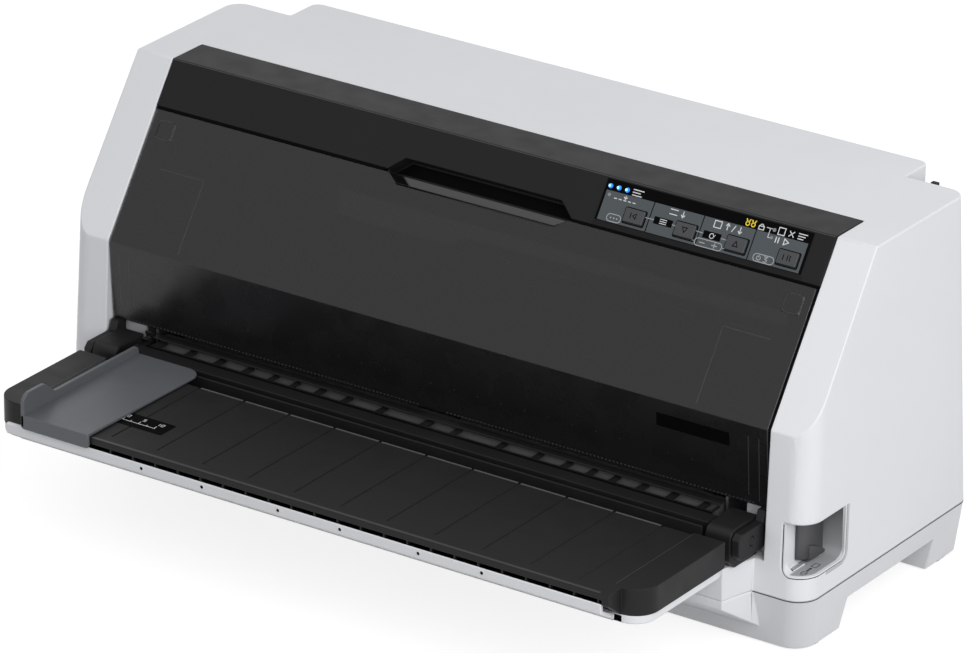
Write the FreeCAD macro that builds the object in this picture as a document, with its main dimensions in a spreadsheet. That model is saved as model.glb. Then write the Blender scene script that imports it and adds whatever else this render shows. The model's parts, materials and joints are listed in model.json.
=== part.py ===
import FreeCAD, Part
import math
import os
import Sketcher

# Flatbed dot matrix printer with a smoked hinged cover, a front paper tray and a rear paper guide.
# Millimetres. +X is right seen from the front, +Y is back, +Z is up, and the feet stand on Z = 0.

os.makedirs("parts", exist_ok=True)
doc = FreeCAD.newDocument("DotMatrixPrinter")
V = FreeCAD.Vector

SIZES = (
    # casing
    ("case_height", 212.0),
    ("seam_z", 34.0),
    ("foot_z", 1.0),
    ("case_top_half", 237.0),
    ("case_seam_half", 240.0),
    ("case_floor_half", 232.0),
    ("case_top_rear_y", 86.0),
    ("case_seam_rear_y", 96.0),
    ("case_floor_rear_y", 98.0),
    ("case_seam_front_y", -68.5),
    ("case_floor_front_y", -58.0),
    ("case_corner", 13.0),
    ("case_rear_corner", 10.0),
    ("floor_rear_corner", 5.0),
    ("case_wall", 3.0),
    ("slope_top_y", -3.8),
    ("crease_y", -63.9),
    ("crease_z", 124.9),
    ("opening_half", 213.0),
    ("cheek_half", 194.0),
    ("cheek_depth", 12.0),
    ("frame_depth", 20.0),
    ("deck_z", 52.5),
    ("hood_half", 199.2),
    ("hood_rear_y", 110.0),
    ("hood_under_z", 118.0),
    ("paper_gate_half", 178.0),
    ("paper_gate_low_z", 60.0),
    ("overrun", 20.0),
    # block below the tray
    ("block_front_y", -88.6),
    ("block_mid_y", -76.0),
    ("block_root_y", -68.6),
    ("block_front_half", 202.0),
    ("block_mid_half", 205.1),
    ("block_root_half", 207.6),
    ("block_lip_z", 29.0),
    ("block_keel_z", 10.0),
    ("block_keel_y", -60.0),
    # lower case
    ("belly_z", 8.0),
    ("relief_z", 20.0),
    ("tub_half", 213.0),
    ("tub_front_y", -55.0),
    ("tub_rear_y", 91.0),
    ("foot_front_rear_y", -21.0),
    ("foot_rear_front_y", 65.0),
    ("skirt_half", 149.0),
    ("pad_radius", 9.0),
    ("pad_depth", 2.0),
    ("pad_x", 222.0),
    ("pad_front_y", -41.0),
    ("pad_rear_y", 81.0),
    ("screw_x", 202.0),
    ("screw_front_y", -36.0),
    ("screw_rear_y", 78.0),
    ("screw_radius", 2.0),
    ("screw_head_radius", 4.0),
    ("screw_head", 2.4),
    ("boss_radius", 5.5),
    # lever recess in the right front corner
    ("recess_x", 224.0),
    ("recess_rear_y", -30.0),
    ("recess_low_z", 48.0),
    ("recess_high_z", 76.6),
    ("recess_corner", 5.0),
    ("lever_half", 11.0),
    ("lever_y", -44.0),
    ("lever_proud", 4.0),
    ("lever_foot", 2.4),
    ("lever_step", 1.5),
    ("lever_step_high", 9.0),
    ("lever_top_z", 73.0),
    ("lever_pivot_z", 28.0),
    ("lever_pin_radius", 2.0),
    ("lever_hub_radius", 3.9),
    ("pivot_post", 3.5),
    # black panel on top
    ("panel_rear_y", 22.4),
    ("panel_skin", 3.0),
    ("panel_drop", 27.4),
    ("panel_gap", 0.3),
    ("panel_rib", 4.0),
    ("panel_end_half", 198.0),
    ("ledge", 6.0),
    ("grip_low_half", 59.0),
    ("grip_high_half", 50.0),
    ("grip_high", 8.0),
    ("grip_depth", 9.0),
    ("grip_reach", 38.0),
    ("grip_wall", 2.0),
    # control label, buttons, lights and board, measured along the slope
    ("label_left_x", 72.5),
    ("label_right_x", 199.6),
    ("label_top", 1.3),
    ("label_bottom", 24.3),
    ("label_skin", 0.4),
    ("button_pitch", 31.53),
    ("button_first_x", 95.4),
    ("button_wide", 12.0),
    ("button_high", 7.6),
    ("button_down", 17.8),
    ("button_rise", 1.1),
    ("button_gap", 0.2),
    ("button_travel", 1.2),
    ("flange_rim", 1.0),
    ("flange_thick", 1.0),
    ("stem_half", 2.0),
    ("stem_long", 2.0),
    ("light_first_x", 75.8),
    ("light_pitch", 5.2),
    ("light_down", 5.2),
    ("light_radius", 1.3),
    ("light_rise", 0.3),
    ("board_left_x", 66.0),
    ("board_right_x", 194.0),
    ("board_top", 2.0),
    ("board_bottom", 26.0),
    ("board_skin", 1.6),
    ("board_depth", 9.0),
    ("switch_half", 3.0),
    ("touch_gap", 0.05),
    ("seat_gap", 0.2),
    # smoked cover
    ("cover_half", 211.4),
    ("cover_drop", 29.0),
    ("cover_skin", 2.5),
    ("cover_foot_y", -61.0),
    ("cover_foot_z", 79.0),
    ("cover_flange", 9.0),
    ("cover_bevel", 1.2),
    ("notch_low_half", 57.0),
    ("notch_high_half", 50.0),
    ("notch_high", 5.3),
    ("window_half", 166.7),
    ("window_high_z", 162.0),
    ("window_low_z", 125.5),
    ("rib_wide", 1.5),
    ("rib_deep", 2.0),
    ("latch_in_half", 196.0),
    ("latch_out_half", 206.5),
    ("latch_top", 34.4),
    ("latch_bottom", 45.0),
    ("latch_rise", 0.6),
    # cover hinge
    ("hinge_y", -76.0),
    ("hinge_z", 66.5),
    ("arm_in_half", 190.2),
    ("arm_out_half", 206.0),
    ("arm_front_y", -88.4),
    ("arm_rear_y", -62.0),
    ("arm_top_z", 75.0),
    ("arm_low_z", 57.5),
    ("arm_round", 5.0),
    ("knuckle_gap", 0.5),
    ("knuckle_front_y", -88.5),
    ("knuckle_rear_y", -66.0),
    ("knuckle_low_z", 58.5),
    ("knuckle_high_z", 73.5),
    ("knuckle_bevel", 3.0),
    ("strut_rear_y", -56.5),
    ("hinge_pin_radius", 2.5),
    ("pin_gap", 0.05),
    # paper plane and tray
    ("paper_z", 73.0),
    ("tray_rear_y", -96.3),
    ("tray_side_front_y", -172.0),
    ("tray_front_y", -184.0),
    ("tray_half", 208.0),
    ("rail_in_half", 189.0),
    ("nose_left_x", -176.0),
    ("nose_right_x", 194.5),
    ("nose_cheek", 4.2),
    ("tray_corner", 14.0),
    ("tray_joint_z", 58.0),
    ("tray_low_z", 53.3),
    ("tray_skin", 2.5),
    ("lip_low_z", 69.3),
    ("nose_rear_y", -171.0),
    ("strip_high_z", 66.8),
    ("strip_low_z", 61.0),
    ("under_half", 207.0),
    ("under_nose_half", 190.0),
    ("under_corner", 13.0),
    ("tongue_front_y", -95.0),
    ("tongue_rear_y", -69.0),
    ("tongue_half", 186.0),
    ("groove_first_x", -125.0),
    ("groove_pitch", 29.63),
    ("groove_wide", 1.0),
    ("groove_deep", 0.7),
    ("groove_front_y", -176.0),
    ("plate_rear_y", -98.6),
    # edge guide on the tray
    ("guide_left_x", -178.5),
    ("guide_right_x", -133.5),
    ("guide_front_y", -186.0),
    ("guide_rear_y", -85.0),
    ("guide_skin", 1.7),
    ("guide_lift", 0.3),
    ("guide_fold_z", 67.0),
    ("fence_wide", 2.0),
    ("fence_high", 4.6),
    ("fence_hump", 12.0),
    ("hump_front_y", -181.0),
    ("hump_mid_y", -166.0),
    ("hump_rear_y", -157.0),
    ("guide_corner", 8.0),
    # paper guide between tray and rollers
    ("guide_bar_half", 188.0),
    ("guide_base_front_y", -88.5),
    ("guide_bar_front_y", -81.6),
    ("guide_bar_rear_y", -72.0),
    ("guide_wire_y", -87.2),
    ("guide_wire_wide", 1.4),
    ("guide_thick", 2.0),
    ("comb_drop", 0.8),
    ("comb_thick", 1.2),
    ("comb_front_y", -67.3),
    ("comb_rear_y", -59.9),
    ("upper_guide_gap", 1.1),
    ("upper_guide_thick", 0.8),
    ("upper_guide_front_y", -63.0),
    ("upper_guide_rear_y", -57.2),
    # side frames and bed
    ("frame_half", 183.6),
    ("frame_thick", 1.6),
    ("frame_front_y", -58.0),
    ("frame_toe_y", -52.0),
    ("frame_rear_y", 90.0),
    ("frame_mid_z", 86.0),
    ("cartridge_drop", 84.0),
    ("frame_tail_z", 80.0),
    ("base_thick", 1.2),
    ("base_rim", 6.4),
    ("base_front_y", -53.0),
    ("base_rear_y", 90.0),
    ("foot_flange", 4.5),
    ("bed_top_z", 72.5),
    ("bed_skin", 2.0),
    ("bed_front_y", -44.4),
    ("bed_rear_y", 55.0),
    ("bed_flange", 7.0),
    ("bed_slot_rim", 3.6),
    ("platen_half", 5.0),
    ("platen_slot", 8.0),
    ("platen_y", -25.0),
    ("platen_low_z", 58.0),
    # rollers
    ("roller_front_y", -54.0),
    ("roller_z", 65.6),
    ("roller_radius", 8.0),
    ("roller_shaft", 3.0),
    ("roller_end_gap", 2.1),
    ("pinch_radius", 5.0),
    ("pinch_shaft", 1.5),
    ("pinch_nip", 0.4),
    ("pinch_lean", 2.5),
    ("gear_face", 3.6),
    ("gear_step", 0.6),
    ("gear_module", 1.25),
    ("backlash", 0.4),
    # tractor drive
    ("tractor_y", 70.0),
    ("tractor_z", 60.6),
    ("wheel_radius", 12.1),
    ("wheel_wide", 7.0),
    ("wheel_pin_radius", 1.2),
    ("wheel_pin_high", 1.8),
    ("square_half", 2.5),
    ("square_gap", 0.1),
    ("tractor_x", 120.0),
    ("tractor_half", 9.0),
    ("tractor_front_y", 58.5),
    ("tractor_rear_y", 90.5),
    ("tractor_low_z", 56.0),
    ("tractor_top_z", 72.6),
    ("rail_y", 87.0),
    ("rail_z", 62.0),
    ("rail_radius", 2.0),
    ("lid_low_z", 76.2),
    ("lid_skin", 2.5),
    ("lid_pin_radius", 1.2),
    ("ear_long", 4.0),
    # print carriage
    ("shaft_y", 10.0),
    ("shaft_z", 100.0),
    ("shaft_radius", 4.5),
    ("guide_rail_front_y", 34.0),
    ("guide_rail_rear_y", 42.0),
    ("guide_rail_z", 110.0),
    ("guide_rail_high", 7.0),
    ("guide_rail_skin", 1.5),
    ("carriage_home_x", -134.0),
    ("carriage_half", 23.0),
    ("carriage_front_y", -12.2),
    ("carriage_rear_y", 31.0),
    ("carriage_low_z", 89.0),
    ("carriage_high_z", 106.0),
    ("head_radius", 15.0),
    ("head_nose_z", 76.2),
    ("nose_half_x", 7.0),
    ("nose_half_y", 4.0),
    ("fin_pitch", 3.6),
    ("fin_thick", 1.6),
    # belt and its motor
    ("belt_y", 60.0),
    ("belt_low_z", 97.0),
    ("belt_high", 5.0),
    ("belt_thick", 1.2),
    ("pulley_x", 168.0),
    ("pulley_radius", 6.0),
    ("axle_radius", 1.5),
    ("drive_radius", 17.0),
    ("drive_low_z", 106.0),
    ("drive_high", 34.0),
    ("bracket_thick", 2.0),
    ("bracket_foot", 4.0),
    # feed motor
    ("feed_lean", 40.3),
    ("feed_half", 17.5),
    ("feed_long", 33.0),
    ("feed_shaft", 2.5),
    # ribbon
    ("cartridge_rim", 5.6),
    ("cartridge_front_y", -44.0),
    ("cartridge_rear_y", 6.0),
    ("cartridge_high", 14.0),
    ("cartridge_tab", 3.0),
    ("ribbon_arm_rim", 18.0),
    ("ribbon_arm_half_y", 7.0),
    ("ribbon_low_z", 74.5),
    ("ribbon_thick", 0.3),
    ("ribbon_wide", 12.7),
    ("knob_x", -150.0),
    ("knob_y", -12.0),
    ("knob_radius", 8.0),
    ("knob_high", 8.0),
    ("knob_shaft", 2.5),
    ("knob_sink", 6.0),
    # electronics
    ("supply_left_x", -140.0),
    ("supply_right_x", -42.0),
    ("supply_front_y", -8.0),
    ("supply_rear_y", 62.0),
    ("supply_high", 34.0),
    ("main_left_x", -22.0),
    ("main_right_x", 172.0),
    ("main_front_y", -40.0),
    ("main_rear_y", 74.0),
    ("standoff", 6.0),
    ("standoff_radius", 3.0),
    ("main_skin", 1.6),
    ("inlet_x", 163.0),
    ("inlet_half", 13.5),
    ("inlet_low_z", 37.0),
    ("inlet_high_z", 55.5),
    ("inlet_front_y", 70.0),
    ("inlet_proud", 0.6),
    ("inlet_wall", 2.5),
    ("inlet_deep", 15.0),
    ("blade_half", 1.0),
    ("ports_front_y", 84.0),
    ("ports_low_z", 37.0),
    ("ports_high_z", 54.0),
    ("ports_left_x", 56.0),
    ("ports_right_x", 138.0),
    ("wide_port_x", 86.0),
    ("wide_port_half", 26.0),
    ("small_port_x", 126.0),
    ("small_port_half", 10.0),
    ("port_low_z", 40.0),
    ("port_high_z", 51.0),
    ("port_wall", 1.5),
    ("port_deep", 8.0),
    # rear hooks and rear guide
    ("hook_in_half", 207.0),
    ("hook_out_half", 211.0),
    ("hook_drop", 5.5),
    ("hook_high", 14.5),
    ("hook_tip_y", 101.0),
    ("hook_throat_y", 95.0),
    ("rear_guide_half", 150.0),
    ("rear_guide_y", 186.0),
    ("rear_guide_skin", 3.0),
    ("rear_hinge_y", 103.0),
    ("rear_hinge_z", 55.0),
    ("rear_hub_radius", 4.5),
    ("rear_pin_radius", 2.0),
    ("rear_pin_long", 5.0),
    ("rear_ear_wide", 5.0),
    ("rear_arm_wide", 8.0),
    ("rear_bar_wide", 8.0),
    ("rear_guide_corner", 12.0),
)

# Windows of the comb over the front feed roller: left and right ends as shares of the half length
# of the roller, read from the row of grey patches under the cover.
SEGMENT_SHARES = (
    (-0.968, -0.880), (-0.857, -0.772), (-0.749, -0.668), (-0.646, -0.572), (-0.554, -0.492),
    (-0.474, -0.404), (-0.382, -0.306), (-0.285, -0.180), (-0.159, -0.022), (0.006, 0.084),
    (0.106, 0.247), (0.268, 0.374), (0.394, 0.475), (0.496, 0.562), (0.582, 0.641),
    (0.662, 0.734), (0.758, 0.837), (0.861, 0.946), (0.968, 0.992),
)
# The pinch rollers have two wide tyres.
TYRE_SHARES = ((-0.92, -0.08), (0.08, 0.92))
WHOLE_SHARES = ((-1.0, 1.0),)
# A quarter turn from one flat into the next, as shares of its radius: fine for edges that show,
# coarse for the inside of the casing.
CORNER_SHARES = ((1.0, 0.0), (0.617, 0.076), (0.293, 0.293), (0.076, 0.617), (0.0, 1.0))
PLAIN_SHARES = ((1.0, 0.0), (0.293, 0.293), (0.0, 1.0))
# Gear teeth: heights above and below the pitch line as shares of the module, and the lightening
# holes as shares of the pitch radius, the module and the web.
TIP_SHARE = 0.92
ROOT_SHARE = 1.25
HUB_SHARE = 0.28
RIM_SHARE = 3.0
HOLE_SHARE = 0.85
PRESSURE_ANGLE = math.radians(20.0)
ROLLER_TEETH = 20
TRANSFER_TEETH = 46
PINION_TEETH = 12
IDLER_TEETH = 12
TRACTOR_TEETH = 30
GROOVES = 11
BUTTONS = 4
LIGHTS = 3
GEAR_HOLES = 4
WHEEL_PINS = 6
HEAD_FINS = 6
SUPPLY_VENTS = 8
REAR_CELLS = 7

sheet = doc.addObject("Spreadsheet::Sheet", "Sizes")
for row, (alias, number) in enumerate(SIZES, 1):
    sheet.set(f"A{row}", alias)
    sheet.set(f"B{row}", repr(number))
    sheet.setAlias(f"B{row}", alias)
doc.recompute()


class Size:
    """A length together with the formula on the sheet that gives it."""

    def __init__(self, value, text):
        self.value = value
        self.text = text

    def __add__(self, other):
        other = as_size(other)
        return Size(self.value + other.value, f"({self.text} + {other.text})")

    def __radd__(self, other):
        return as_size(other) + self

    def __sub__(self, other):
        other = as_size(other)
        return Size(self.value - other.value, f"({self.text} - {other.text})")

    def __rsub__(self, other):
        return as_size(other) - self

    def __mul__(self, other):
        other = as_size(other)
        return Size(self.value * other.value, f"({self.text} * {other.text})")

    def __rmul__(self, other):
        return as_size(other) * self

    def __truediv__(self, other):
        other = as_size(other)
        return Size(self.value / other.value, f"({self.text} / {other.text})")

    def __neg__(self):
        return Size(-self.value, f"(0 - {self.text})")


def as_size(value):
    if isinstance(value, Size):
        return value
    return Size(float(value), f"({float(value)!r})")


def root_of(size):
    return Size(math.sqrt(size.value), f"sqrt({size.text})")


class Named:
    """The sizes of the sheet by name."""

    def __getattr__(self, name):
        return Size(float(sheet.get(name)), f"Sizes.{name}")


s = Named()

roller_half = s.frame_half - s.roller_end_gap
base_half = s.frame_half + s.base_rim
bed_slot_half = s.frame_half - s.bed_slot_rim
cartridge_half = s.frame_half - s.cartridge_rim
ribbon_arm_in_half = cartridge_half - s.ribbon_arm_rim
cartridge_seat_z = s.case_height - s.cartridge_drop
knuckle_in_half = s.arm_out_half + s.knuckle_gap
hook_high_z = s.case_height - s.hook_drop
hook_low_z = hook_high_z - s.hook_high


def bind(target, path, size):
    size = as_size(size)
    target.setExpression(path, size.text)


def place(target, x=0, y=0, z=0):
    for path, size in (("x", x), ("y", y), ("z", z)):
        if isinstance(size, Size):
            bind(target, "Placement.Base." + path, size)


def mix(low, high, share):
    return low + (high - low) * share


def both(half):
    return (-half, half)


# The slope and the front of the casing, seen from the side. depth is measured into the casing.
slope_rise = s.case_height - s.crease_z
slope_run = s.slope_top_y - s.crease_y
slope_long = root_of(slope_rise * slope_rise + slope_run * slope_run)
slope_lean = slope_run / slope_rise
front_lean = (s.crease_y - s.case_seam_front_y) / (s.crease_z - s.seam_z)
slope_stretch = slope_long / slope_rise
case_top_front_y = s.crease_y + slope_rise * front_lean


def front_line(depth, z):
    return s.crease_y + depth + (z - s.crease_z) * front_lean


def slope_line(depth, z):
    return s.crease_y + depth * slope_stretch + (z - s.crease_z) * slope_lean


def bend(depth):
    z = s.crease_z - depth * (slope_stretch - 1) / (slope_lean - front_lean)
    return (front_line(depth, z), z)


def on_slope(down, depth):
    y = s.slope_top_y - down * slope_run / slope_long + depth * slope_rise / slope_long
    z = s.case_height - down * slope_rise / slope_long - depth * slope_run / slope_long
    return (y, z)


def rear_line(depth, z):
    share = (z - s.seam_z) / (s.case_height - s.seam_z)
    return mix(s.case_seam_rear_y, s.case_top_rear_y, share) - depth


def side_line(depth, z):
    share = (z - s.seam_z) / (s.case_height - s.seam_z)
    return mix(s.case_seam_half, s.case_top_half, share) - depth


def front_strip(near, far, rear_y, foot_z):
    """Outline of a layer behind the top, slope and front faces, between two depths."""
    top_near = s.case_height - near
    top_far = s.case_height - far
    return [
        (rear_y, top_near), (slope_line(near, top_near), top_near), bend(near),
        (front_line(near, foot_z), foot_z), (front_line(far, foot_z), foot_z), bend(far),
        (slope_line(far, top_far), top_far), (rear_y, top_far),
    ]


NODES = []
PLANES = {"x": "YZ_Plane", "y": "XZ_Plane", "z": "XY_Plane"}


def keep(label, piece):
    """Give a finished piece its name."""
    if isinstance(piece, Piece):
        piece = piece.body
    piece.Label = label
    NODES.append(piece)
    return piece


class Piece:
    """A body that is padded, pocketed, lofted and turned from sketches on its own planes."""

    def __init__(self, name):
        self.body = doc.addObject("PartDesign::Body", name)

    def sketch(self, axis, at, loops):
        plane = [item for item in self.body.Origin.OriginFeatures if item.Role == PLANES[axis]][0]
        drawing = self.body.newObject("Sketcher::SketchObject", self.body.Name + "_sketch")
        drawing.AttachmentSupport = [(plane, "")]
        drawing.MapMode = "FlatFace"
        if isinstance(at, Size):
            bind(drawing, "AttachmentOffset.Base.z", at)
        for loop in loops:
            if loop[0] == "circle":
                draw_circle(drawing, *loop[1:])
            elif loop[0] == "round":
                draw_round(drawing, *loop[1:])
            else:
                draw_polygon(drawing, loop)
        return drawing

    def add(self, kind, drawing, long):
        feature = self.body.newObject("PartDesign::" + kind, self.body.Name + "_" + kind.lower())
        feature.Profile = drawing
        bind(feature, "Length", long)
        drawing.Visibility = False
        self.body.Tip = feature
        return feature

    def pad(self, axis, span, *loops):
        low, high = as_size(span[0]), as_size(span[1])
        at = -high if axis == "y" else low
        return self.add("Pad", self.sketch(axis, at, loops), high - low)

    def pocket(self, axis, span, *loops):
        low, high = as_size(span[0]), as_size(span[1])
        at = -low if axis == "y" else high
        return self.add("Pocket", self.sketch(axis, at, loops), high - low)

    def loft(self, kind, low, high):
        """Between two outlines, each given as (height, loop)."""
        first = self.sketch("z", low[0], [low[1]])
        second = self.sketch("z", high[0], [high[1]])
        feature = self.body.newObject("PartDesign::" + kind, self.body.Name + "_loft")
        feature.Profile = first
        feature.Sections = [second]
        feature.Ruled = True
        self.body.Tip = feature
        return feature

    def turn(self, loop, axis="H_Axis", plane="z"):
        """A full turn of an outline about the sketch's own axis."""
        drawing = self.sketch(plane, 0, [loop])
        feature = self.body.newObject("PartDesign::Revolution", self.body.Name + "_turn")
        feature.Profile = drawing
        feature.ReferenceAxis = (drawing, [axis])
        feature.Angle = 360
        self.body.Tip = feature
        return feature


def fix_point(drawing, item, end, u, v):
    u, v = as_size(u), as_size(v)
    for kind, size in (("DistanceX", u), ("DistanceY", v)):
        row = drawing.addConstraint(Sketcher.Constraint(kind, -1, 1, item, end, size.value))
        drawing.setExpression(f"Constraints[{row}]", size.text)


def draw_polygon(drawing, points):
    first = drawing.GeometryCount
    places = [(as_size(u).value, as_size(v).value) for u, v in points]
    count = len(places)
    for row in range(count):
        start = V(*places[row], 0)
        stop = V(*places[(row + 1) % count], 0)
        drawing.addGeometry(Part.LineSegment(start, stop), False)
    for row in range(count):
        drawing.addConstraint(Sketcher.Constraint(
            "Coincident", first + row, 2, first + (row + 1) % count, 1))
    for row, (u, v) in enumerate(points):
        fix_point(drawing, first + row, 1, u, v)


def draw_circle(drawing, u, v, radius):
    centre = V(as_size(u).value, as_size(v).value, 0)
    item = drawing.addGeometry(Part.Circle(centre, V(0, 0, 1), radius.value), False)
    fix_point(drawing, item, 3, u, v)
    row = drawing.addConstraint(Sketcher.Constraint("Radius", item, radius.value))
    drawing.setExpression(f"Constraints[{row}]", radius.text)


def draw_round(drawing, left, right, front, rear, radius, rear_radius=None):
    """A rectangle with rounded corners; the two rear ones can have a radius of their own."""
    back = radius if rear_radius is None else rear_radius
    centres = (
        (left + radius, front + radius, math.pi, radius),
        (right - radius, front + radius, 1.5 * math.pi, radius),
        (right - back, rear - back, 0.0, back),
        (left + back, rear - back, 0.5 * math.pi, back),
    )
    arcs = []
    for u, v, start, turn in centres:
        centre = V(u.value, v.value, 0)
        circle = Part.Circle(centre, V(0, 0, 1), turn.value)
        arcs.append(drawing.addGeometry(
            Part.ArcOfCircle(circle, start, start + 0.5 * math.pi), False))
    for row, (item, (u, v, start, turn)) in enumerate(zip(arcs, centres)):
        follow = arcs[(row + 1) % 4]
        ends = []
        for arc, name in ((item, "EndPoint"), (follow, "StartPoint")):
            ends.append(getattr(drawing.Geometry[arc], name))
        line = drawing.addGeometry(Part.LineSegment(*ends), False)
        drawing.addConstraint(Sketcher.Constraint("Coincident", item, 2, line, 1))
        drawing.addConstraint(Sketcher.Constraint("Coincident", line, 2, follow, 1))
        fix_point(drawing, item, 3, u, v)
        index = drawing.addConstraint(Sketcher.Constraint("Radius", item, turn.value))
        drawing.setExpression(f"Constraints[{index}]", turn.text)
        flat_first = row % 2 == 0
        near, far = (1, 2) if flat_first else (2, 1)
        drawing.addConstraint(Sketcher.Constraint("Horizontal", item, near, item, 3))
        drawing.addConstraint(Sketcher.Constraint("Vertical", item, far, item, 3))


def slab(x, y, z):
    """A box from three spans."""
    box = doc.addObject("Part::Box", "slab")
    for path, span in (("Length", x), ("Width", y), ("Height", z)):
        bind(box, path, as_size(span[1]) - span[0])
    place(box, as_size(x[0]), as_size(y[0]), as_size(z[0]))
    return box


TURNS = {"x": (V(0, 1, 0), 90), "y": (V(1, 0, 0), -90), "z": (V(0, 0, 1), 0)}


def rod(axis, span, u, v, radius):
    """A cylinder along an axis; u and v are its other two coordinates in order."""
    item = doc.addObject("Part::Cylinder", "rod")
    bind(item, "Radius", radius)
    bind(item, "Height", as_size(span[1]) - span[0])
    item.Placement = FreeCAD.Placement(V(0, 0, 0), FreeCAD.Rotation(*TURNS[axis]))
    u, v, low = as_size(u), as_size(v), as_size(span[0])
    spots = {"x": (low, u, v), "y": (u, low, v), "z": (u, v, low)}
    place(item, *spots[axis])
    return item


def solid_of(item):
    return item.body if isinstance(item, Piece) else item


def fuse(name, items):
    whole = doc.addObject("Part::MultiFuse", name)
    whole.Shapes = [solid_of(item) for item in items]
    return whole


def cut(name, base, tools):
    whole = doc.addObject("Part::Cut", name)
    whole.Base = solid_of(base)
    whole.Tool = solid_of(tools[0]) if len(tools) == 1 else fuse(name + "_tools", tools)
    return whole


def common(name, first, second):
    whole = doc.addObject("Part::Common", name)
    whole.Base = solid_of(first)
    whole.Tool = solid_of(second)
    return whole


def group(name, items):
    whole = doc.addObject("Part::Compound", name)
    whole.Links = [solid_of(item) for item in items]
    return whole


def mirrored(item, normal=(1, 0, 0)):
    twin = doc.addObject("Part::Mirroring", "twin")
    twin.Source = solid_of(item)
    twin.Base = V(0, 0, 0)
    twin.Normal = V(*normal)
    return twin


def put_on_slope(item):
    """Stand a piece on the slope: its own X stays, Y runs up the slope and Z points outwards."""
    item = solid_of(item)
    item.Placement = FreeCAD.Placement(V(0, 0, 0), FreeCAD.Rotation(V(1, 0, 0), 10))
    bind(item, "Placement.Base.y", s.slope_top_y)
    bind(item, "Placement.Base.z", s.case_height)
    item.setExpression(
        "Placement.Rotation.Angle", f"atan2({slope_rise.text}; {slope_run.text})")
    return item


def box_loop(left, right, low, high):
    return [(left, low), (right, low), (right, high), (left, high)]


def square_loop(u, v, half):
    return box_loop(u - half, u + half, v - half, v + half)


def plain_round(kind, left, right, front, rear, radius, rear_radius):
    """The outline of a rounded rectangle with its corners cut in flats."""
    points = []
    for u, v, turn, back in ((left, front, radius, 1), (right, front, radius, -1),
                             (right, rear, rear_radius, 1), (left, rear, rear_radius, -1)):
        side = 1 if u is left else -1
        up = 1 if v is front else -1
        corner = [(u + turn * side * a, v + turn * up * b) for a, b in PLAIN_SHARES]
        points += corner[::-1] if back > 0 else corner
    return points


# Lower case: a drafted tub on two foot bars, with the hollow block that reaches out under the tray.

floor_z = s.belly_z + s.case_wall
level_share = (floor_z - s.foot_z) / (s.seam_z - s.foot_z)
shelf_z = s.relief_z + s.case_wall
shelf_share = (shelf_z - s.foot_z) / (s.seam_z - s.foot_z)


def lower_ring(share, inset):
    half = mix(s.case_floor_half, s.case_seam_half, share) - inset
    front = mix(s.case_floor_front_y, s.case_seam_front_y, share) + inset
    rear = mix(s.case_floor_rear_y, s.case_seam_rear_y, share) - inset
    back = mix(s.floor_rear_corner, s.case_rear_corner, share) - inset
    return ("round", -half, half, front, rear, s.case_corner - inset, back)


tub = Piece("lower_shell")
tub.loft("AdditiveLoft", (s.foot_z, lower_ring(as_size(0), as_size(0))),
         (s.seam_z, lower_ring(as_size(1), as_size(0))))
tub.pad("x", both(s.block_root_half), [
    (s.block_front_y, s.seam_z), (s.block_front_y, s.block_lip_z),
    (s.block_keel_y, s.block_keel_z), (s.block_keel_y, s.seam_z)])


def block_flank(side):
    edge = s.block_root_half + s.overrun
    return [
        (side * s.block_front_half, s.block_front_y - s.overrun),
        (side * s.block_front_half, s.block_front_y), (side * s.block_mid_half, s.block_mid_y),
        (side * s.block_root_half, s.block_root_y), (side * edge, s.block_root_y),
        (side * edge, s.block_front_y - s.overrun)]


tub.pocket("z", (s.belly_z - s.overrun, s.seam_z + s.overrun), block_flank(-1), block_flank(1))
relief_half = s.tub_half + s.case_wall
tub.pocket("z", (s.foot_z - s.overrun, s.relief_z),
           box_loop(relief_half, s.case_seam_half + s.overrun, s.foot_front_rear_y,
                    s.foot_rear_front_y),
           box_loop(-s.case_seam_half - s.overrun, -relief_half, s.foot_front_rear_y,
                    s.foot_rear_front_y))
tub.pocket("z", (s.foot_z - s.overrun, s.belly_z),
           box_loop(-relief_half - s.overrun, relief_half + s.overrun, s.foot_front_rear_y,
                    s.foot_rear_front_y))
tub.pocket("z", (s.foot_z - s.overrun, s.belly_z),
           box_loop(-s.skirt_half, s.skirt_half, s.case_floor_front_y + s.case_wall,
                    s.foot_front_rear_y + s.case_wall))
tub.loft("SubtractiveLoft", (shelf_z, plain_round(*lower_ring(shelf_share, s.case_wall))),
         (s.seam_z, plain_round(*lower_ring(as_size(1), s.case_wall))))
tub.pocket("z", (floor_z, s.seam_z),
           box_loop(-s.tub_half, s.tub_half, s.tub_front_y, s.tub_rear_y))
tub.pocket("x", both(s.block_front_half - s.case_wall), [
    (s.block_front_y + s.case_wall, s.seam_z + s.overrun),
    (s.block_front_y + s.case_wall, s.block_lip_z + s.case_wall),
    (s.case_seam_front_y - s.case_wall, s.block_lip_z),
    (s.case_seam_front_y - s.case_wall, s.seam_z + s.overrun)])
boss_spots = [(side * s.screw_x, y) for side in (-1, 1) for y in (s.screw_front_y, s.screw_rear_y)]
tub.pad("z", (floor_z, s.seam_z), *[square_loop(x, y, s.boss_radius) for x, y in boss_spots])
tub.pocket("z", (s.belly_z - s.overrun, s.seam_z + s.overrun), *[
    ("circle", x, y, s.screw_radius + s.seat_gap) for x, y in boss_spots])
counterbore_z = s.belly_z + s.screw_head
pad_spots = [(side * s.pad_x, y) for side in (-1, 1) for y in (s.pad_front_y, s.pad_rear_y)]
tub.pocket("z", (s.foot_z - s.overrun, s.foot_z + s.pad_depth), *[
    ("circle", x, y, s.pad_radius + s.seat_gap) for x, y in pad_spots])
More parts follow.
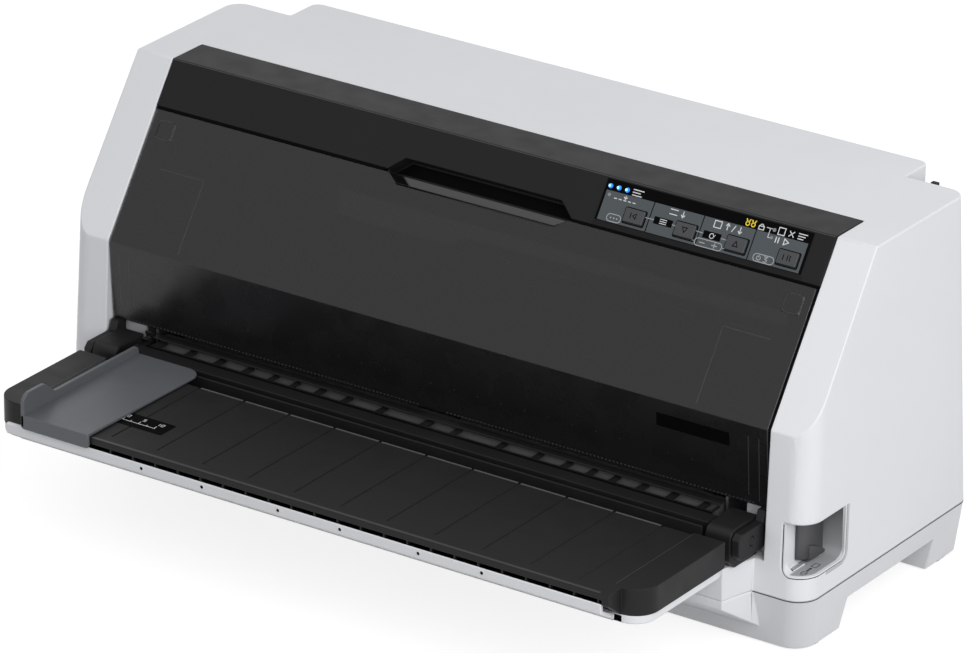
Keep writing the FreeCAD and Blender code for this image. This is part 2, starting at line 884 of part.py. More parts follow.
# Post that carries the pivot pin of the release lever.
lever_in_x = s.recess_x + s.lever_proud
post_top_z = s.lever_pivot_z + s.lever_hub_radius
tub.pad("z", (shelf_z, post_top_z), box_loop(
    lever_in_x, lever_in_x + s.pivot_post, s.lever_y - s.lever_hub_radius,
    s.lever_y + s.lever_hub_radius))
lever_pin_x = lever_in_x - s.lever_proud
tub.pad("x", (lever_pin_x, lever_in_x), (
    "circle", s.lever_y, s.lever_pivot_z, s.lever_pin_radius))
lower_cut = cut("lower_counterbored", tub, [
    rod("z", (s.belly_z - s.overrun, counterbore_z), x, y, s.screw_head_radius + s.seat_gap)
    for x, y in boss_spots])
keep("lower_case", lower_cut)

keep("rubber_feet", group("feet", [
    rod("z", (0, s.foot_z + s.pad_depth), x, y, s.pad_radius) for x, y in pad_spots]))

screws = []
for x, y in boss_spots:
    shank = rod("z", (counterbore_z - s.screw_head, s.seam_z - s.seat_gap), x, y, s.screw_radius)
    head = rod("z", (counterbore_z - s.screw_head, counterbore_z), x, y, s.screw_head_radius)
    screws.append(fuse("screw", [shank, head]))
keep("case_screws", group("screws", screws))

# Upper case: drafted hood with a sloped front, cut open for the cover, closed by inner cheeks.


def upper_ring(inset, top):
    if top:
        half = s.case_top_half - inset
        front = case_top_front_y + inset
        rear = s.case_top_rear_y - inset
    else:
        half = s.case_seam_half - inset
        front = s.case_seam_front_y + inset
        rear = s.case_seam_rear_y - inset
    return ("round", -half, half, front, rear, s.case_corner - inset,
            s.case_rear_corner - inset)


def slope_wedge(depth):
    """Everything in front of the slope at a given depth."""
    high = s.case_height + s.overrun
    low_y, low_z = bend(depth)
    far_y = low_y - s.overrun
    return [
        (slope_line(depth, high), high), (low_y, low_z),
        (slope_line(depth, low_z - s.overrun), low_z - s.overrun),
        (far_y - s.overrun, low_z - s.overrun), (far_y - s.overrun, high)]


def upper_block(piece, inset):
    piece.pad("z", (s.seam_z, s.deck_z - inset), [
        (-s.block_front_half + inset, s.block_front_y + inset),
        (s.block_front_half - inset, s.block_front_y + inset),
        (s.block_mid_half - inset, s.block_mid_y), (s.block_root_half - inset, s.block_root_y),
        (s.block_root_half - inset, s.tub_front_y), (-s.block_root_half + inset, s.tub_front_y),
        (-s.block_root_half + inset, s.block_root_y), (-s.block_mid_half + inset, s.block_mid_y)])


outer = Piece("casing_outside")
outer.loft("AdditiveLoft", (s.seam_z, upper_ring(as_size(0), False)),
           (s.case_height, upper_ring(as_size(0), True)))
outer.pocket("x", both(s.case_seam_half + s.overrun), slope_wedge(as_size(0)))
outer.pad("z", (s.hood_under_z, s.case_height), (
    "round", -s.hood_half, s.hood_half, s.case_top_rear_y - s.overrun, s.hood_rear_y,
    s.case_wall + s.cover_skin))
upper_block(outer, as_size(0))

inner = Piece("casing_inside")
inner.loft("AdditiveLoft", (s.seam_z, plain_round(*upper_ring(s.case_wall, False))),
           (s.case_height - s.case_wall, plain_round(*upper_ring(s.case_wall, True))))
inner.pocket("x", both(s.case_seam_half + s.overrun), slope_wedge(s.case_wall))
inner.pad("z", (s.hood_under_z + s.case_wall, s.case_height - s.case_wall), box_loop(
    -s.hood_half + s.case_wall, s.hood_half - s.case_wall, s.case_top_rear_y - s.overrun,
    s.hood_rear_y - s.case_wall))
block_inside = Piece("block_inside")
upper_block(block_inside, s.case_wall)

frame_rim = s.opening_half + s.case_wall
cheeks = Piece("cheek_frame")
cheeks.pad("x", both(frame_rim), front_strip(
    s.case_wall / 2, s.cheek_depth + s.case_wall, s.panel_rear_y + s.case_wall,
    s.deck_z - s.case_wall))
recess_lining = common("recess_lining", outer, slab(
    (s.recess_x - s.case_wall, s.case_seam_half + s.overrun),
    (s.case_seam_front_y - s.overrun, s.recess_rear_y + s.case_wall),
    (s.recess_low_z - s.case_wall, s.recess_high_z + s.case_wall)))

opening = Piece("cover_opening")
opening.pad("x", both(s.opening_half), front_strip(
    -s.overrun, s.cheek_depth, s.panel_rear_y, s.deck_z))
inner_opening = Piece("inner_opening")
inner_opening.pad("x", both(s.cheek_half), front_strip(
    -s.overrun, s.frame_depth, s.panel_rear_y - s.ledge, s.deck_z))
sill = slab(both(s.cheek_half), (s.block_root_y + s.case_wall, s.tub_front_y + s.overrun),
            (s.deck_z - s.case_wall - s.overrun, s.deck_z + s.case_wall))
paper_gate = slab(both(s.paper_gate_half),
                  (s.case_top_rear_y - s.overrun, s.case_seam_rear_y + s.case_wall),
                  (s.paper_gate_low_z, s.hood_under_z - s.case_wall))
inlet_hole = slab((s.inlet_x - s.inlet_half - s.seat_gap, s.inlet_x + s.inlet_half + s.seat_gap),
                  (s.case_top_rear_y - s.case_wall, s.case_seam_rear_y + s.case_wall),
                  (s.inlet_low_z - s.seat_gap, s.inlet_high_z + s.seat_gap))
port_holes = [
    slab((x - half - s.seat_gap, x + half + s.seat_gap),
         (s.case_top_rear_y - s.case_wall, s.case_seam_rear_y + s.case_wall),
         (s.port_low_z - s.seat_gap, s.port_high_z + s.seat_gap))
    for x, half in ((s.wide_port_x, s.wide_port_half), (s.small_port_x, s.small_port_half))]


def low_corner(u, turn, far_u, high_z):
    """Outline of the recess seen from one side, rounded where its wall meets the floor."""
    points = [(far_u, s.recess_low_z)]
    for along, up in CORNER_SHARES:
        points.append((u + turn * along, s.recess_low_z + s.recess_corner * up))
    return points + [(u, high_z), (far_u, high_z)]


recess_side = Piece("recess_side")
recess_side.pad("x", (s.recess_x, s.case_seam_half + s.overrun), low_corner(
    s.recess_rear_y, -s.recess_corner, s.case_seam_front_y - s.overrun, s.recess_high_z))
recess_front = Piece("recess_front")
recess_front.pad("y", (s.case_seam_front_y - s.overrun, s.recess_rear_y), low_corner(
    s.recess_x, s.recess_corner, s.case_seam_half + s.overrun, s.recess_high_z))
recess = common("lever_recess", recess_side, recess_front)
lever_room = slab((s.recess_x, lever_in_x), (
    s.lever_y - s.lever_half - s.case_wall * 2, s.recess_rear_y - s.recess_corner / 3),
                  (s.recess_low_z, s.recess_low_z + s.recess_corner))
lever_slot = slab((s.recess_x, lever_in_x + s.case_wall / 2),
                  (s.lever_y - s.lever_hub_radius - s.case_wall,
                   s.lever_y + s.lever_hub_radius + s.case_wall),
                  (s.recess_low_z - s.case_wall * 2, s.recess_low_z + s.case_wall))

shell = cut("casing_shell", outer, [inner])
lined = fuse("casing_lined", [shell, cheeks, recess_lining])
ears = []
for side in (-1, 1):
    low = s.rear_guide_half + s.rear_arm_wide / 4
    span = (low, low + s.rear_ear_wide) if side > 0 else (-low - s.rear_ear_wide, -low)
    ear = Piece("ear")
    ear.pad("x", span, [
        (rear_line(s.case_wall / 2, s.rear_hinge_z + s.rear_hub_radius),
         s.rear_hinge_z + s.rear_hub_radius),
        (rear_line(s.case_wall / 2, s.rear_hinge_z - s.rear_hub_radius * 2),
         s.rear_hinge_z - s.rear_hub_radius * 2),
        (s.rear_hinge_y + s.rear_hub_radius, s.rear_hinge_z - s.rear_hub_radius),
        (s.rear_hinge_y + s.rear_hub_radius, s.rear_hinge_z + s.rear_hub_radius)])
    ears.append(ear)
ear_bore = rod("x", both(s.case_seam_half), s.rear_hinge_y, s.rear_hinge_z,
               s.rear_pin_radius + s.pin_gap)
with_ears = fuse("casing_with_ears", [lined] + ears)
upper = cut("casing_cut", with_ears, [
    opening, inner_opening, sill, block_inside, paper_gate, inlet_hole, *port_holes, recess,
    lever_room, lever_slot, ear_bore])
keep("upper_case", upper)

# Release lever in the corner recess: a broad grip with a stepped foot, on a narrow stem. Its foot
# rises towards the front, so that it clears the floor of the recess as it swings forward.
lever = Piece("lever")
lever_back_x = s.recess_x + s.seat_gap * 2
lever_face_x = lever_in_x - s.seat_gap
lever_front_y = s.lever_y - s.lever_half
lever_rear_y = s.lever_y + s.lever_half
lever_low_z = s.recess_low_z + s.case_wall / 3
lever.pad("z", (lever_low_z, s.lever_top_z), [
    (lever_back_x, lever_front_y), (lever_face_x - s.lever_step, lever_front_y),
    (lever_face_x, lever_front_y + s.lever_proud), (lever_face_x, lever_rear_y),
    (lever_back_x, lever_rear_y)])
lever.pad("x", (lever_back_x, lever_face_x + s.lever_step), [
    (s.lever_y - s.lever_proud, lever_low_z), (lever_rear_y, lever_low_z),
    (lever_rear_y, lever_low_z + s.lever_step),
    (s.lever_y + s.lever_proud, lever_low_z + s.lever_step_high * 2 / 3),
    (s.lever_y - s.lever_proud, lever_low_z + s.lever_step_high)])
lever.pocket("x", (lever_back_x - s.overrun, lever_face_x + s.overrun), [
    (lever_front_y - s.overrun, lever_low_z - s.overrun), (s.lever_y, lever_low_z - s.overrun),
    (s.lever_y, lever_low_z), (lever_front_y, lever_low_z + s.lever_foot),
    (lever_front_y - s.overrun, lever_low_z + s.lever_foot)])
lever.pad("x", (lever_back_x, lever_face_x), [
    (s.lever_y - s.lever_hub_radius, s.lever_pivot_z), (s.lever_y + s.lever_hub_radius,
                                                        s.lever_pivot_z),
    (s.lever_y + s.lever_hub_radius, lever_low_z + s.case_wall),
    (s.lever_y - s.lever_hub_radius, lever_low_z + s.case_wall)])
lever.pad("x", (lever_back_x, lever_face_x), (
    "circle", s.lever_y, s.lever_pivot_z, s.lever_hub_radius))
lever.pocket("x", (lever_pin_x - s.overrun, lever_in_x + s.overrun), (
    "circle", s.lever_y, s.lever_pivot_z, s.lever_pin_radius + s.pin_gap))
keep("release_lever", lever)

# Black top panel with the hexagonal finger recess, and what it carries.

panel = Piece("panel_shell")
panel_half = s.opening_half - s.panel_gap
panel_back_y = s.panel_rear_y - s.seat_gap
tip_out = on_slope(s.panel_drop, as_size(0))
tip_in = on_slope(s.panel_drop, s.panel_skin)
top_in = s.case_height - s.panel_skin
panel.pad("x", both(panel_half), [
    (panel_back_y, s.case_height), (s.slope_top_y, s.case_height), tip_out, tip_in,
    (slope_line(s.panel_skin, top_in), top_in), (panel_back_y, top_in)])
deep_z = s.case_height - s.cheek_depth
for low, high in ((s.panel_end_half, panel_half), (-panel_half, -s.panel_end_half)):
    panel.pad("x", (low, high), [
        (panel_back_y, top_in), (slope_line(s.panel_skin, top_in), top_in),
        tip_in, on_slope(s.panel_drop, s.cheek_depth), (slope_line(s.cheek_depth, deep_z), deep_z),
        (panel_back_y, deep_z)])
panel.pad("x", both(s.panel_end_half), box_loop(
    panel_back_y - s.panel_rib, panel_back_y, deep_z, top_in))

grip_tub = Piece("grip_tub")
grip_out = s.grip_low_half + s.grip_wall
grip_high_down = s.panel_drop - s.grip_high
grip_tub.pad("z", (-s.grip_depth - s.grip_wall, -s.panel_skin + s.touch_gap), box_loop(
    -grip_out, grip_out, -s.grip_reach - s.grip_wall, -grip_high_down + s.grip_wall))
grip_tub.pad("z", (-s.panel_skin, -s.panel_skin / 2), box_loop(
    -grip_out, grip_out, -grip_high_down, -grip_high_down + s.grip_wall))
put_on_slope(grip_tub)
grip_hole = Piece("grip_hole")
grip_hole.pad("z", (-s.grip_depth, s.overrun), [
    (-s.grip_high_half, -grip_high_down), (-s.grip_low_half, -s.panel_drop),
    (-s.grip_low_half, -s.grip_reach), (s.grip_low_half, -s.grip_reach),
    (s.grip_low_half, -s.panel_drop), (s.grip_high_half, -grip_high_down)])
put_on_slope(grip_hole)

button_spots = [s.button_first_x + s.button_pitch * row for row in range(BUTTONS)]
button_low = -s.button_down - s.button_high / 2
button_high = -s.button_down + s.button_high / 2
holes = Piece("panel_holes")
hole_depth = s.panel_skin + s.overrun
holes.pad("z", (-hole_depth, s.overrun), *[
    box_loop(x - s.button_wide / 2 - s.button_gap, x + s.button_wide / 2 + s.button_gap,
             button_low - s.button_gap, button_high + s.button_gap) for x in button_spots])
put_on_slope(holes)
light_spots = [s.light_first_x + s.light_pitch * row for row in range(LIGHTS)]
light_holes = Piece("light_holes")
light_holes.pad("z", (-hole_depth, s.overrun), *[
    ("circle", x, -s.light_down, s.light_radius + s.touch_gap) for x in light_spots])
put_on_slope(light_holes)
posts = Piece("panel_posts")
post_shares = (0.04, 0.845)
rise_shares = (0.15, 0.85)
posts.pad("z", (-s.board_depth, -s.panel_skin / 2), *[
    square_loop(mix(s.board_left_x, s.board_right_x, across),
                mix(-s.board_bottom, -s.board_top, up), s.screw_radius)
    for across in post_shares for up in rise_shares])
put_on_slope(posts)
panel_full = fuse("panel_with_tub", [panel, grip_tub, posts])
keep("top_panel", cut("panel_cut", panel_full, [grip_hole, holes, light_holes]))

label = Piece("control_label_plate")
label.pad("z", (0, s.label_skin), box_loop(
    s.label_left_x, s.label_right_x, -s.label_bottom, -s.label_top))
label.pocket("z", (-s.overrun, s.overrun), *[
    box_loop(x - s.button_wide / 2 - s.button_gap, x + s.button_wide / 2 + s.button_gap,
             button_low - s.button_gap, button_high + s.button_gap) for x in button_spots])
label.pocket("z", (-s.overrun, s.overrun), *[
    ("circle", x, -s.light_down, s.light_radius + s.touch_gap) for x in light_spots])
put_on_slope(label)
keep("control_label", label)

lenses = []
for x in light_spots:
    lens = Piece("lens")
    lens.pad("z", (-s.panel_skin, s.label_skin + s.light_rise), (
        "circle", x, -s.light_down, s.light_radius))
    put_on_slope(lens)
    lenses.append(lens)
keep("status_lights", group("lenses", lenses))

flange_top = -s.panel_skin - s.touch_gap
flange_low = flange_top - s.flange_thick
stem_low = flange_low - s.stem_long
for name, x in zip(("tear_off_button", "line_feed_button", "load_button", "pause_button"),
                   button_spots):
    key = Piece(name + "_body")
    key.pad("z", (flange_low, s.label_skin + s.button_rise), box_loop(
        x - s.button_wide / 2, x + s.button_wide / 2, button_low, button_high))
    key.pad("z", (flange_low, flange_top), box_loop(
        x - s.button_wide / 2 - s.flange_rim, x + s.button_wide / 2 + s.flange_rim,
        button_low - s.flange_rim, button_high + s.flange_rim))
    key.pad("z", (stem_low, flange_low), box_loop(
        x - s.stem_half, x + s.stem_half, -s.button_down - s.stem_half,
        -s.button_down + s.stem_half))
    put_on_slope(key)
    keep(name, key)

board = Piece("panel_board_plate")
board.pad("z", (-s.board_depth - s.board_skin, -s.board_depth), box_loop(
    s.board_left_x, s.board_right_x, -s.board_bottom, -s.board_top))
switch_top = stem_low - s.button_travel - s.touch_gap
board.pad("z", (-s.board_depth - s.board_skin / 2, switch_top), *[
    box_loop(x - s.switch_half, x + s.switch_half, -s.button_down - s.switch_half,
             -s.button_down + s.switch_half) for x in button_spots])
put_on_slope(board)
keep("panel_board", board)

# Smoked cover, its black knuckles, and the fixed arms with the hinge pins.

cover = Piece("cover_shell")
lip_out = on_slope(s.cover_drop, as_size(0))
lip_in = on_slope(s.cover_drop, s.cover_skin)
inner_bend_z = s.crease_z - s.cover_skin * (slope_stretch - 1) / slope_lean
cover_bend = (s.crease_y + s.cover_skin, inner_bend_z)
cover_foot_in = s.cover_foot_y + s.cover_skin
cover.pad("x", both(s.cover_half), [
    lip_out, (s.crease_y, s.crease_z), (s.cover_foot_y, s.cover_foot_z),
    (cover_foot_in, s.cover_foot_z), cover_bend, lip_in])
flange_lip = on_slope(s.cover_drop, s.cover_flange)
flange_bend_z = s.crease_z - s.cover_flange * (slope_stretch - 1) / slope_lean
for low, high in ((s.cover_half - s.cover_skin, s.cover_half),
                  (-s.cover_half, -s.cover_half + s.cover_skin)):
    cover.pad("x", (low, high), [
        lip_out, (s.crease_y, s.crease_z), (s.cover_foot_y, s.cover_foot_z),
        (s.cover_foot_y + s.cover_flange / 2, s.cover_foot_z),
        (s.crease_y + s.cover_flange, flange_bend_z), flange_lip])
for x in (-s.window_half, s.window_half):
    cover.pad("x", (x - s.rib_wide / 2, x + s.rib_wide / 2), [
        (slope_line(s.cover_skin / 2, s.window_high_z), s.window_high_z),
        (slope_line(s.cover_skin / 2, s.window_low_z), s.window_low_z),
        (slope_line(s.cover_skin + s.rib_deep, s.window_low_z), s.window_low_z),
        (slope_line(s.cover_skin + s.rib_deep, s.window_high_z), s.window_high_z)])
bevel = Piece("cover_bevel_cut")
bevel.pad("z", (-s.cover_bevel, s.overrun), [
    (-s.notch_low_half, -s.cover_drop + s.overrun), (-s.notch_low_half, -s.cover_drop),
    (-s.notch_high_half, -s.cover_drop - s.notch_high),
    (s.notch_high_half, -s.cover_drop - s.notch_high), (s.notch_low_half, -s.cover_drop),
    (s.notch_low_half, -s.cover_drop + s.overrun)])
put_on_slope(bevel)
latches = []
for low, high in ((s.latch_in_half, s.latch_out_half), (-s.latch_out_half, -s.latch_in_half)):
    latch = Piece("latch_pad")
    latch.pad("z", (-s.cover_skin / 2, s.latch_rise), box_loop(
        low, high, -s.latch_bottom, -s.latch_top))
    put_on_slope(latch)
    latches.append(latch)
keep("front_cover", cut("cover_cut", fuse("cover_with_pads", [cover] + latches), [bevel]))


def knuckle_side(low, high):
    knuckle = Piece("knuckle")
    b = s.knuckle_bevel
    knuckle.pad("x", (low, high), [
        (s.knuckle_front_y, s.knuckle_low_z + b), (s.knuckle_front_y + b, s.knuckle_low_z),
        (s.knuckle_rear_y, s.knuckle_low_z), (s.strut_rear_y, s.knuckle_low_z + b),
        (s.strut_rear_y, s.cover_foot_z), (s.cover_foot_y - b, s.cover_foot_z),
        (s.knuckle_rear_y, s.knuckle_high_z), (s.knuckle_front_y + b, s.knuckle_high_z),
        (s.knuckle_front_y, s.knuckle_high_z - b)])
    knuckle.pocket("x", (low - s.overrun, high + s.overrun), (
        "circle", s.hinge_y, s.hinge_z, s.hinge_pin_radius + s.pin_gap))
    return knuckle


keep("cover_knuckles", group("knuckles", [
    knuckle_side(knuckle_in_half, s.cover_half),
    knuckle_side(-s.cover_half, -knuckle_in_half)]))


def hinge_arm(low, high, pin_low, pin_high):
    arm = Piece("hinge_arm")
    b = s.arm_round
    arm.pad("x", (low, high), [
        (s.arm_front_y, s.arm_low_z), (s.arm_front_y + b, s.deck_z), (s.arm_rear_y, s.deck_z),
        (s.arm_rear_y, s.arm_top_z), (s.arm_front_y + b, s.arm_top_z),
        (s.arm_front_y + b / 3, s.arm_top_z - b / 3), (s.arm_front_y, s.arm_top_z - b)])
    arm.pad("x", (pin_low, pin_high), (
        "circle", s.hinge_y, s.hinge_z, s.hinge_pin_radius))
    return arm


pin_end = s.cover_half - s.seat_gap
keep("cover_hinge_arms", group("arms", [
    hinge_arm(s.arm_in_half, s.arm_out_half, s.arm_out_half, pin_end),
    hinge_arm(-s.arm_out_half, -s.arm_in_half, -pin_end, -s.arm_out_half)]))

# Paper tray: white shell below, black ribbed top, sliding edge guide.

under = Piece("tray_shell")
under.pad("z", (s.tray_low_z, s.tray_joint_z), (
    "round", -s.under_half, s.under_half, s.tray_side_front_y, s.block_front_y - s.seat_gap,
    s.under_corner))
under.pocket("z", (s.tray_low_z + s.tray_skin, s.tray_joint_z + s.overrun), (
    "round", -s.under_half + s.tray_skin, s.under_half - s.tray_skin,
    s.tray_side_front_y + s.tray_skin, s.block_front_y - s.seat_gap - s.tray_skin,
    s.under_corner - s.tray_skin))
w = s.tray_skin
under.pad("x", both(s.under_nose_half), [
    (s.tray_front_y, s.strip_high_z), (s.tray_front_y, s.strip_low_z),
    (s.nose_rear_y, s.tray_low_z), (s.nose_rear_y + s.under_corner, s.tray_low_z),
    (s.nose_rear_y + s.under_corner, s.tray_low_z + w), (s.nose_rear_y + w / 2, s.tray_low_z + w),
    (s.tray_front_y + w, s.strip_low_z + w / 2), (s.tray_front_y + w, s.strip_high_z)])
under.pad("z", (s.deck_z, s.tray_low_z + s.tray_skin), box_loop(
    -s.tongue_half, s.tongue_half, s.block_front_y, s.tongue_rear_y))
under.pad("z", (s.tray_low_z, s.tray_low_z + s.tray_skin), box_loop(
    -s.tongue_half, s.tongue_half, s.tongue_front_y, s.block_front_y + s.tray_skin))
keep("tray_under", under)

top = Piece("tray_cover")
top.pad("z", (s.tray_joint_z, s.paper_z), (
    "round", -s.tray_half, s.tray_half, s.tray_side_front_y, s.tray_rear_y, s.tray_corner))
top.pocket("z", (s.paper_z - s.overrun, s.paper_z + s.overrun), box_loop(
    -s.tray_half - s.overrun, -s.rail_in_half, s.tray_rear_y - s.tray_corner,
    s.tray_rear_y + s.overrun), box_loop(
    s.rail_in_half, s.tray_half + s.overrun, s.tray_rear_y - s.tray_corner,
    s.tray_rear_y + s.overrun))
for low, high in ((s.rail_in_half - w, s.tray_half), (-s.tray_half, -s.rail_in_half + w)):
    top.pad("z", (s.tray_joint_z, s.paper_z), box_loop(
        low, high, s.tray_rear_y - s.tray_corner - w, s.tray_rear_y))
top.pocket("z", (s.tray_joint_z - s.overrun, s.paper_z - s.tray_skin), (
    "round", -s.tray_half + w, s.tray_half - w, s.tray_side_front_y + w,
    s.tray_rear_y - w, s.tray_corner - w))
top.pocket("z", (s.paper_z - s.overrun, s.paper_z + s.overrun), box_loop(
    -s.rail_in_half, s.rail_in_half, s.plate_rear_y, s.tray_rear_y + s.overrun))
top.pad("z", (s.lip_low_z, s.paper_z), box_loop(
    s.nose_left_x, s.nose_right_x, s.tray_front_y, s.nose_rear_y))
top.pocket("y", (s.tray_front_y + w, s.nose_rear_y + s.overrun), box_loop(
    s.nose_left_x + w, s.nose_right_x - w, s.paper_z - s.overrun, s.paper_z - w))
top.pad("x", (s.nose_right_x - s.nose_cheek, s.nose_right_x), [
    (s.tray_front_y, s.paper_z - w), (s.tray_front_y, s.strip_high_z),
    (s.tray_side_front_y, s.tray_joint_z), (s.nose_rear_y, s.tray_joint_z),
    (s.nose_rear_y, s.paper_z - w)])
groove_spots = [s.groove_first_x + s.groove_pitch * row for row in range(GROOVES)]
top.pocket("z", (s.paper_z - s.groove_deep, s.paper_z + s.overrun), *[
    box_loop(x - s.groove_wide / 2, x + s.groove_wide / 2, s.groove_front_y,
             s.plate_rear_y + s.overrun) for x in groove_spots])
keep("tray_top", top)

edge = Piece("edge_guide_plate")
plate_low_z = s.paper_z + s.guide_lift
plate_top_z = plate_low_z + s.guide_skin
c = s.guide_corner
edge.pad("z", (plate_low_z, plate_top_z), [
    (s.guide_left_x, s.guide_front_y), (s.guide_right_x, s.guide_front_y),
    (s.guide_right_x, s.guide_rear_y - c), (s.guide_right_x - c / 3, s.guide_rear_y - c / 3),
    (s.guide_right_x - c, s.guide_rear_y), (s.guide_left_x, s.guide_rear_y)])
edge.pad("y", (s.guide_front_y, s.guide_front_y + s.guide_skin), box_loop(
    s.guide_left_x, s.guide_right_x, s.guide_fold_z, plate_top_z))
edge.pad("x", (s.guide_left_x, s.guide_left_x + s.fence_wide), [
    (s.guide_front_y, plate_low_z), (s.guide_rear_y, plate_low_z),
    (s.guide_rear_y, plate_top_z + s.fence_high), (s.hump_rear_y, plate_top_z + s.fence_high),
    (s.hump_mid_y, plate_top_z + s.fence_hump), (s.hump_front_y, plate_top_z + s.fence_hump),
    (s.guide_front_y, plate_top_z + s.fence_hump / 2)])
keep("edge_guide", edge)

entry = Piece("front_guide_channel")
base_z = s.tray_low_z + s.tray_skin
g = s.guide_thick
wire_low = s.guide_wire_y - s.guide_wire_wide / 2
wire_high = s.guide_wire_y + s.guide_wire_wide / 2
entry.pad("x", both(s.guide_bar_half), [
    (s.guide_base_front_y, base_z), (s.guide_bar_rear_y, base_z), (s.guide_bar_rear_y, s.paper_z),
    (s.guide_bar_front_y, s.paper_z), (s.guide_bar_front_y, base_z + g), (wire_high, base_z + g),
    (wire_high, s.paper_z), (wire_low, s.paper_z), (wire_low, base_z + g),
    (s.guide_base_front_y, base_z + g)])
entry.pocket("x", both(s.guide_bar_half + s.overrun), box_loop(
    s.guide_bar_front_y + g, s.guide_bar_rear_y - g, base_z + g, s.paper_z - g))
for side in (-1, 1):
    far = side * (s.guide_bar_half + s.overrun)
    near = side * s.tongue_half
    low, high = (far, near) if side < 0 else (near, far)
    entry.pocket("z", (base_z - s.overrun, base_z + g), box_loop(
        low, high, s.guide_base_front_y - s.overrun, s.block_root_y))
comb_high = s.paper_z - s.comb_drop
entry.pad("z", (comb_high - s.comb_thick, comb_high), box_loop(
    -roller_half, roller_half, s.guide_bar_rear_y - g / 2, s.comb_rear_y))
entry.pocket("z", (comb_high - s.comb_thick - s.overrun / 4, comb_high + s.comb_drop / 2), *[
    box_loop(roller_half * low, roller_half * high, s.comb_front_y, s.comb_rear_y + s.overrun)
    for low, high in SEGMENT_SHARES])
upper_guide_low = s.paper_z + s.upper_guide_gap
upper_guide = slab(both(s.frame_half), (s.upper_guide_front_y, s.upper_guide_rear_y),
                   (upper_guide_low, upper_guide_low + s.upper_guide_thick))
keep("front_guide", group("front_guides", [entry, upper_guide]))

# Steel side frames, base, paper bed and platen.

frame_low_z = floor_z + s.base_thick
frame_outline = [
    (s.frame_toe_y, frame_low_z), (s.frame_toe_y, s.roller_z - s.roller_radius * 2),
    (s.frame_front_y, s.roller_z - s.roller_radius), (s.frame_front_y, s.frame_mid_z),
    (s.cartridge_front_y + s.knob_high, cartridge_seat_z),
    (s.cartridge_rear_y, cartridge_seat_z),
    (s.guide_rail_rear_y + s.frame_thick, s.guide_rail_z + s.guide_rail_high + s.frame_thick),
    (s.guide_rail_rear_y + s.knob_high, s.frame_tail_z + s.frame_thick),
    (s.frame_rear_y, s.frame_tail_z), (s.frame_rear_y, frame_low_z)]
pinch_z = s.roller_z + s.roller_radius + s.pinch_radius + s.pinch_nip
pinch_front_y = s.roller_front_y + s.pinch_lean
pitch_radius = {count: s.gear_module * count / 2 for count in (
    ROLLER_TEETH, TRANSFER_TEETH, PINION_TEETH, TRACTOR_TEETH)}
mesh_long = pitch_radius[ROLLER_TEETH] + pitch_radius[TRANSFER_TEETH]
transfer_y = s.roller_front_y + mesh_long
roller_rear_y = transfer_y + mesh_long
pinch_rear_y = roller_rear_y + s.pinch_lean
feed_long = pitch_radius[TRANSFER_TEETH] + pitch_radius[PINION_TEETH]
feed_angle = math.radians(s.feed_lean.value)
feed_y = transfer_y + feed_long * math.sin(feed_angle)
feed_z = s.roller_z - feed_long * math.cos(feed_angle)

# The idler stands where it meshes with the rear roller gear and the tractor gear.
near_arm = (pitch_radius[ROLLER_TEETH] + pitch_radius[IDLER_TEETH]).value
far_arm = (pitch_radius[IDLER_TEETH] + pitch_radius[TRACTOR_TEETH]).value
gap_y = (s.tractor_y - roller_rear_y).value
gap_z = (s.tractor_z - s.roller_z).value
gap_long = math.hypot(gap_y, gap_z)
along = (near_arm ** 2 - far_arm ** 2 + gap_long ** 2) / (2 * gap_long)
aside = math.sqrt(near_arm ** 2 - along ** 2)
idler_y = roller_rear_y + (along * gap_y + aside * gap_z) / gap_long
idler_z = s.roller_z + (along * gap_z - aside * gap_y) / gap_long

shaft_bores = [
    (s.roller_front_y, s.roller_z, s.roller_shaft), (roller_rear_y, s.roller_z, s.roller_shaft),
    (pinch_front_y, pinch_z, s.pinch_shaft), (pinch_rear_y, pinch_z, s.pinch_shaft),
    (s.shaft_y, s.shaft_z, s.shaft_radius), (s.rail_y, s.rail_z, s.rail_radius),
    (s.tractor_y, s.tractor_z, s.square_half * math.sqrt(2) + s.touch_gap)]


def side_frame(low, high, flange_low, flange_high, extra):
    plate = Piece("side_frame")
    bores = shaft_bores + extra
    plate.pad("x", (low, high), frame_outline, *[
        ("circle", y, z, r + s.pin_gap) for y, z, r in bores])
    plate.pad("z", (frame_low_z, frame_low_z + s.frame_thick), box_loop(
        flange_low, flange_high, s.frame_toe_y, s.frame_rear_y))
    return plate


frame_out = s.frame_half + s.frame_thick
right_frame = side_frame(
    s.frame_half, frame_out, s.frame_half, s.frame_half + s.foot_flange, [])
left_frame = side_frame(
    -frame_out, -s.frame_half, -s.frame_half - s.foot_flange, -s.frame_half,
    [(feed_y, feed_z, s.feed_shaft)])

base = Piece("base_plate")
base.pad("z", (floor_z, frame_low_z), box_loop(
    -base_half, base_half, s.base_front_y, s.base_rear_y))
for low in (s.base_front_y, s.base_rear_y - s.base_thick):
    base.pad("z", (floor_z, frame_low_z + s.standoff), box_loop(
        -s.frame_half + s.seat_gap, s.frame_half - s.seat_gap, low, low + s.base_thick))
keep("base_frame", base)

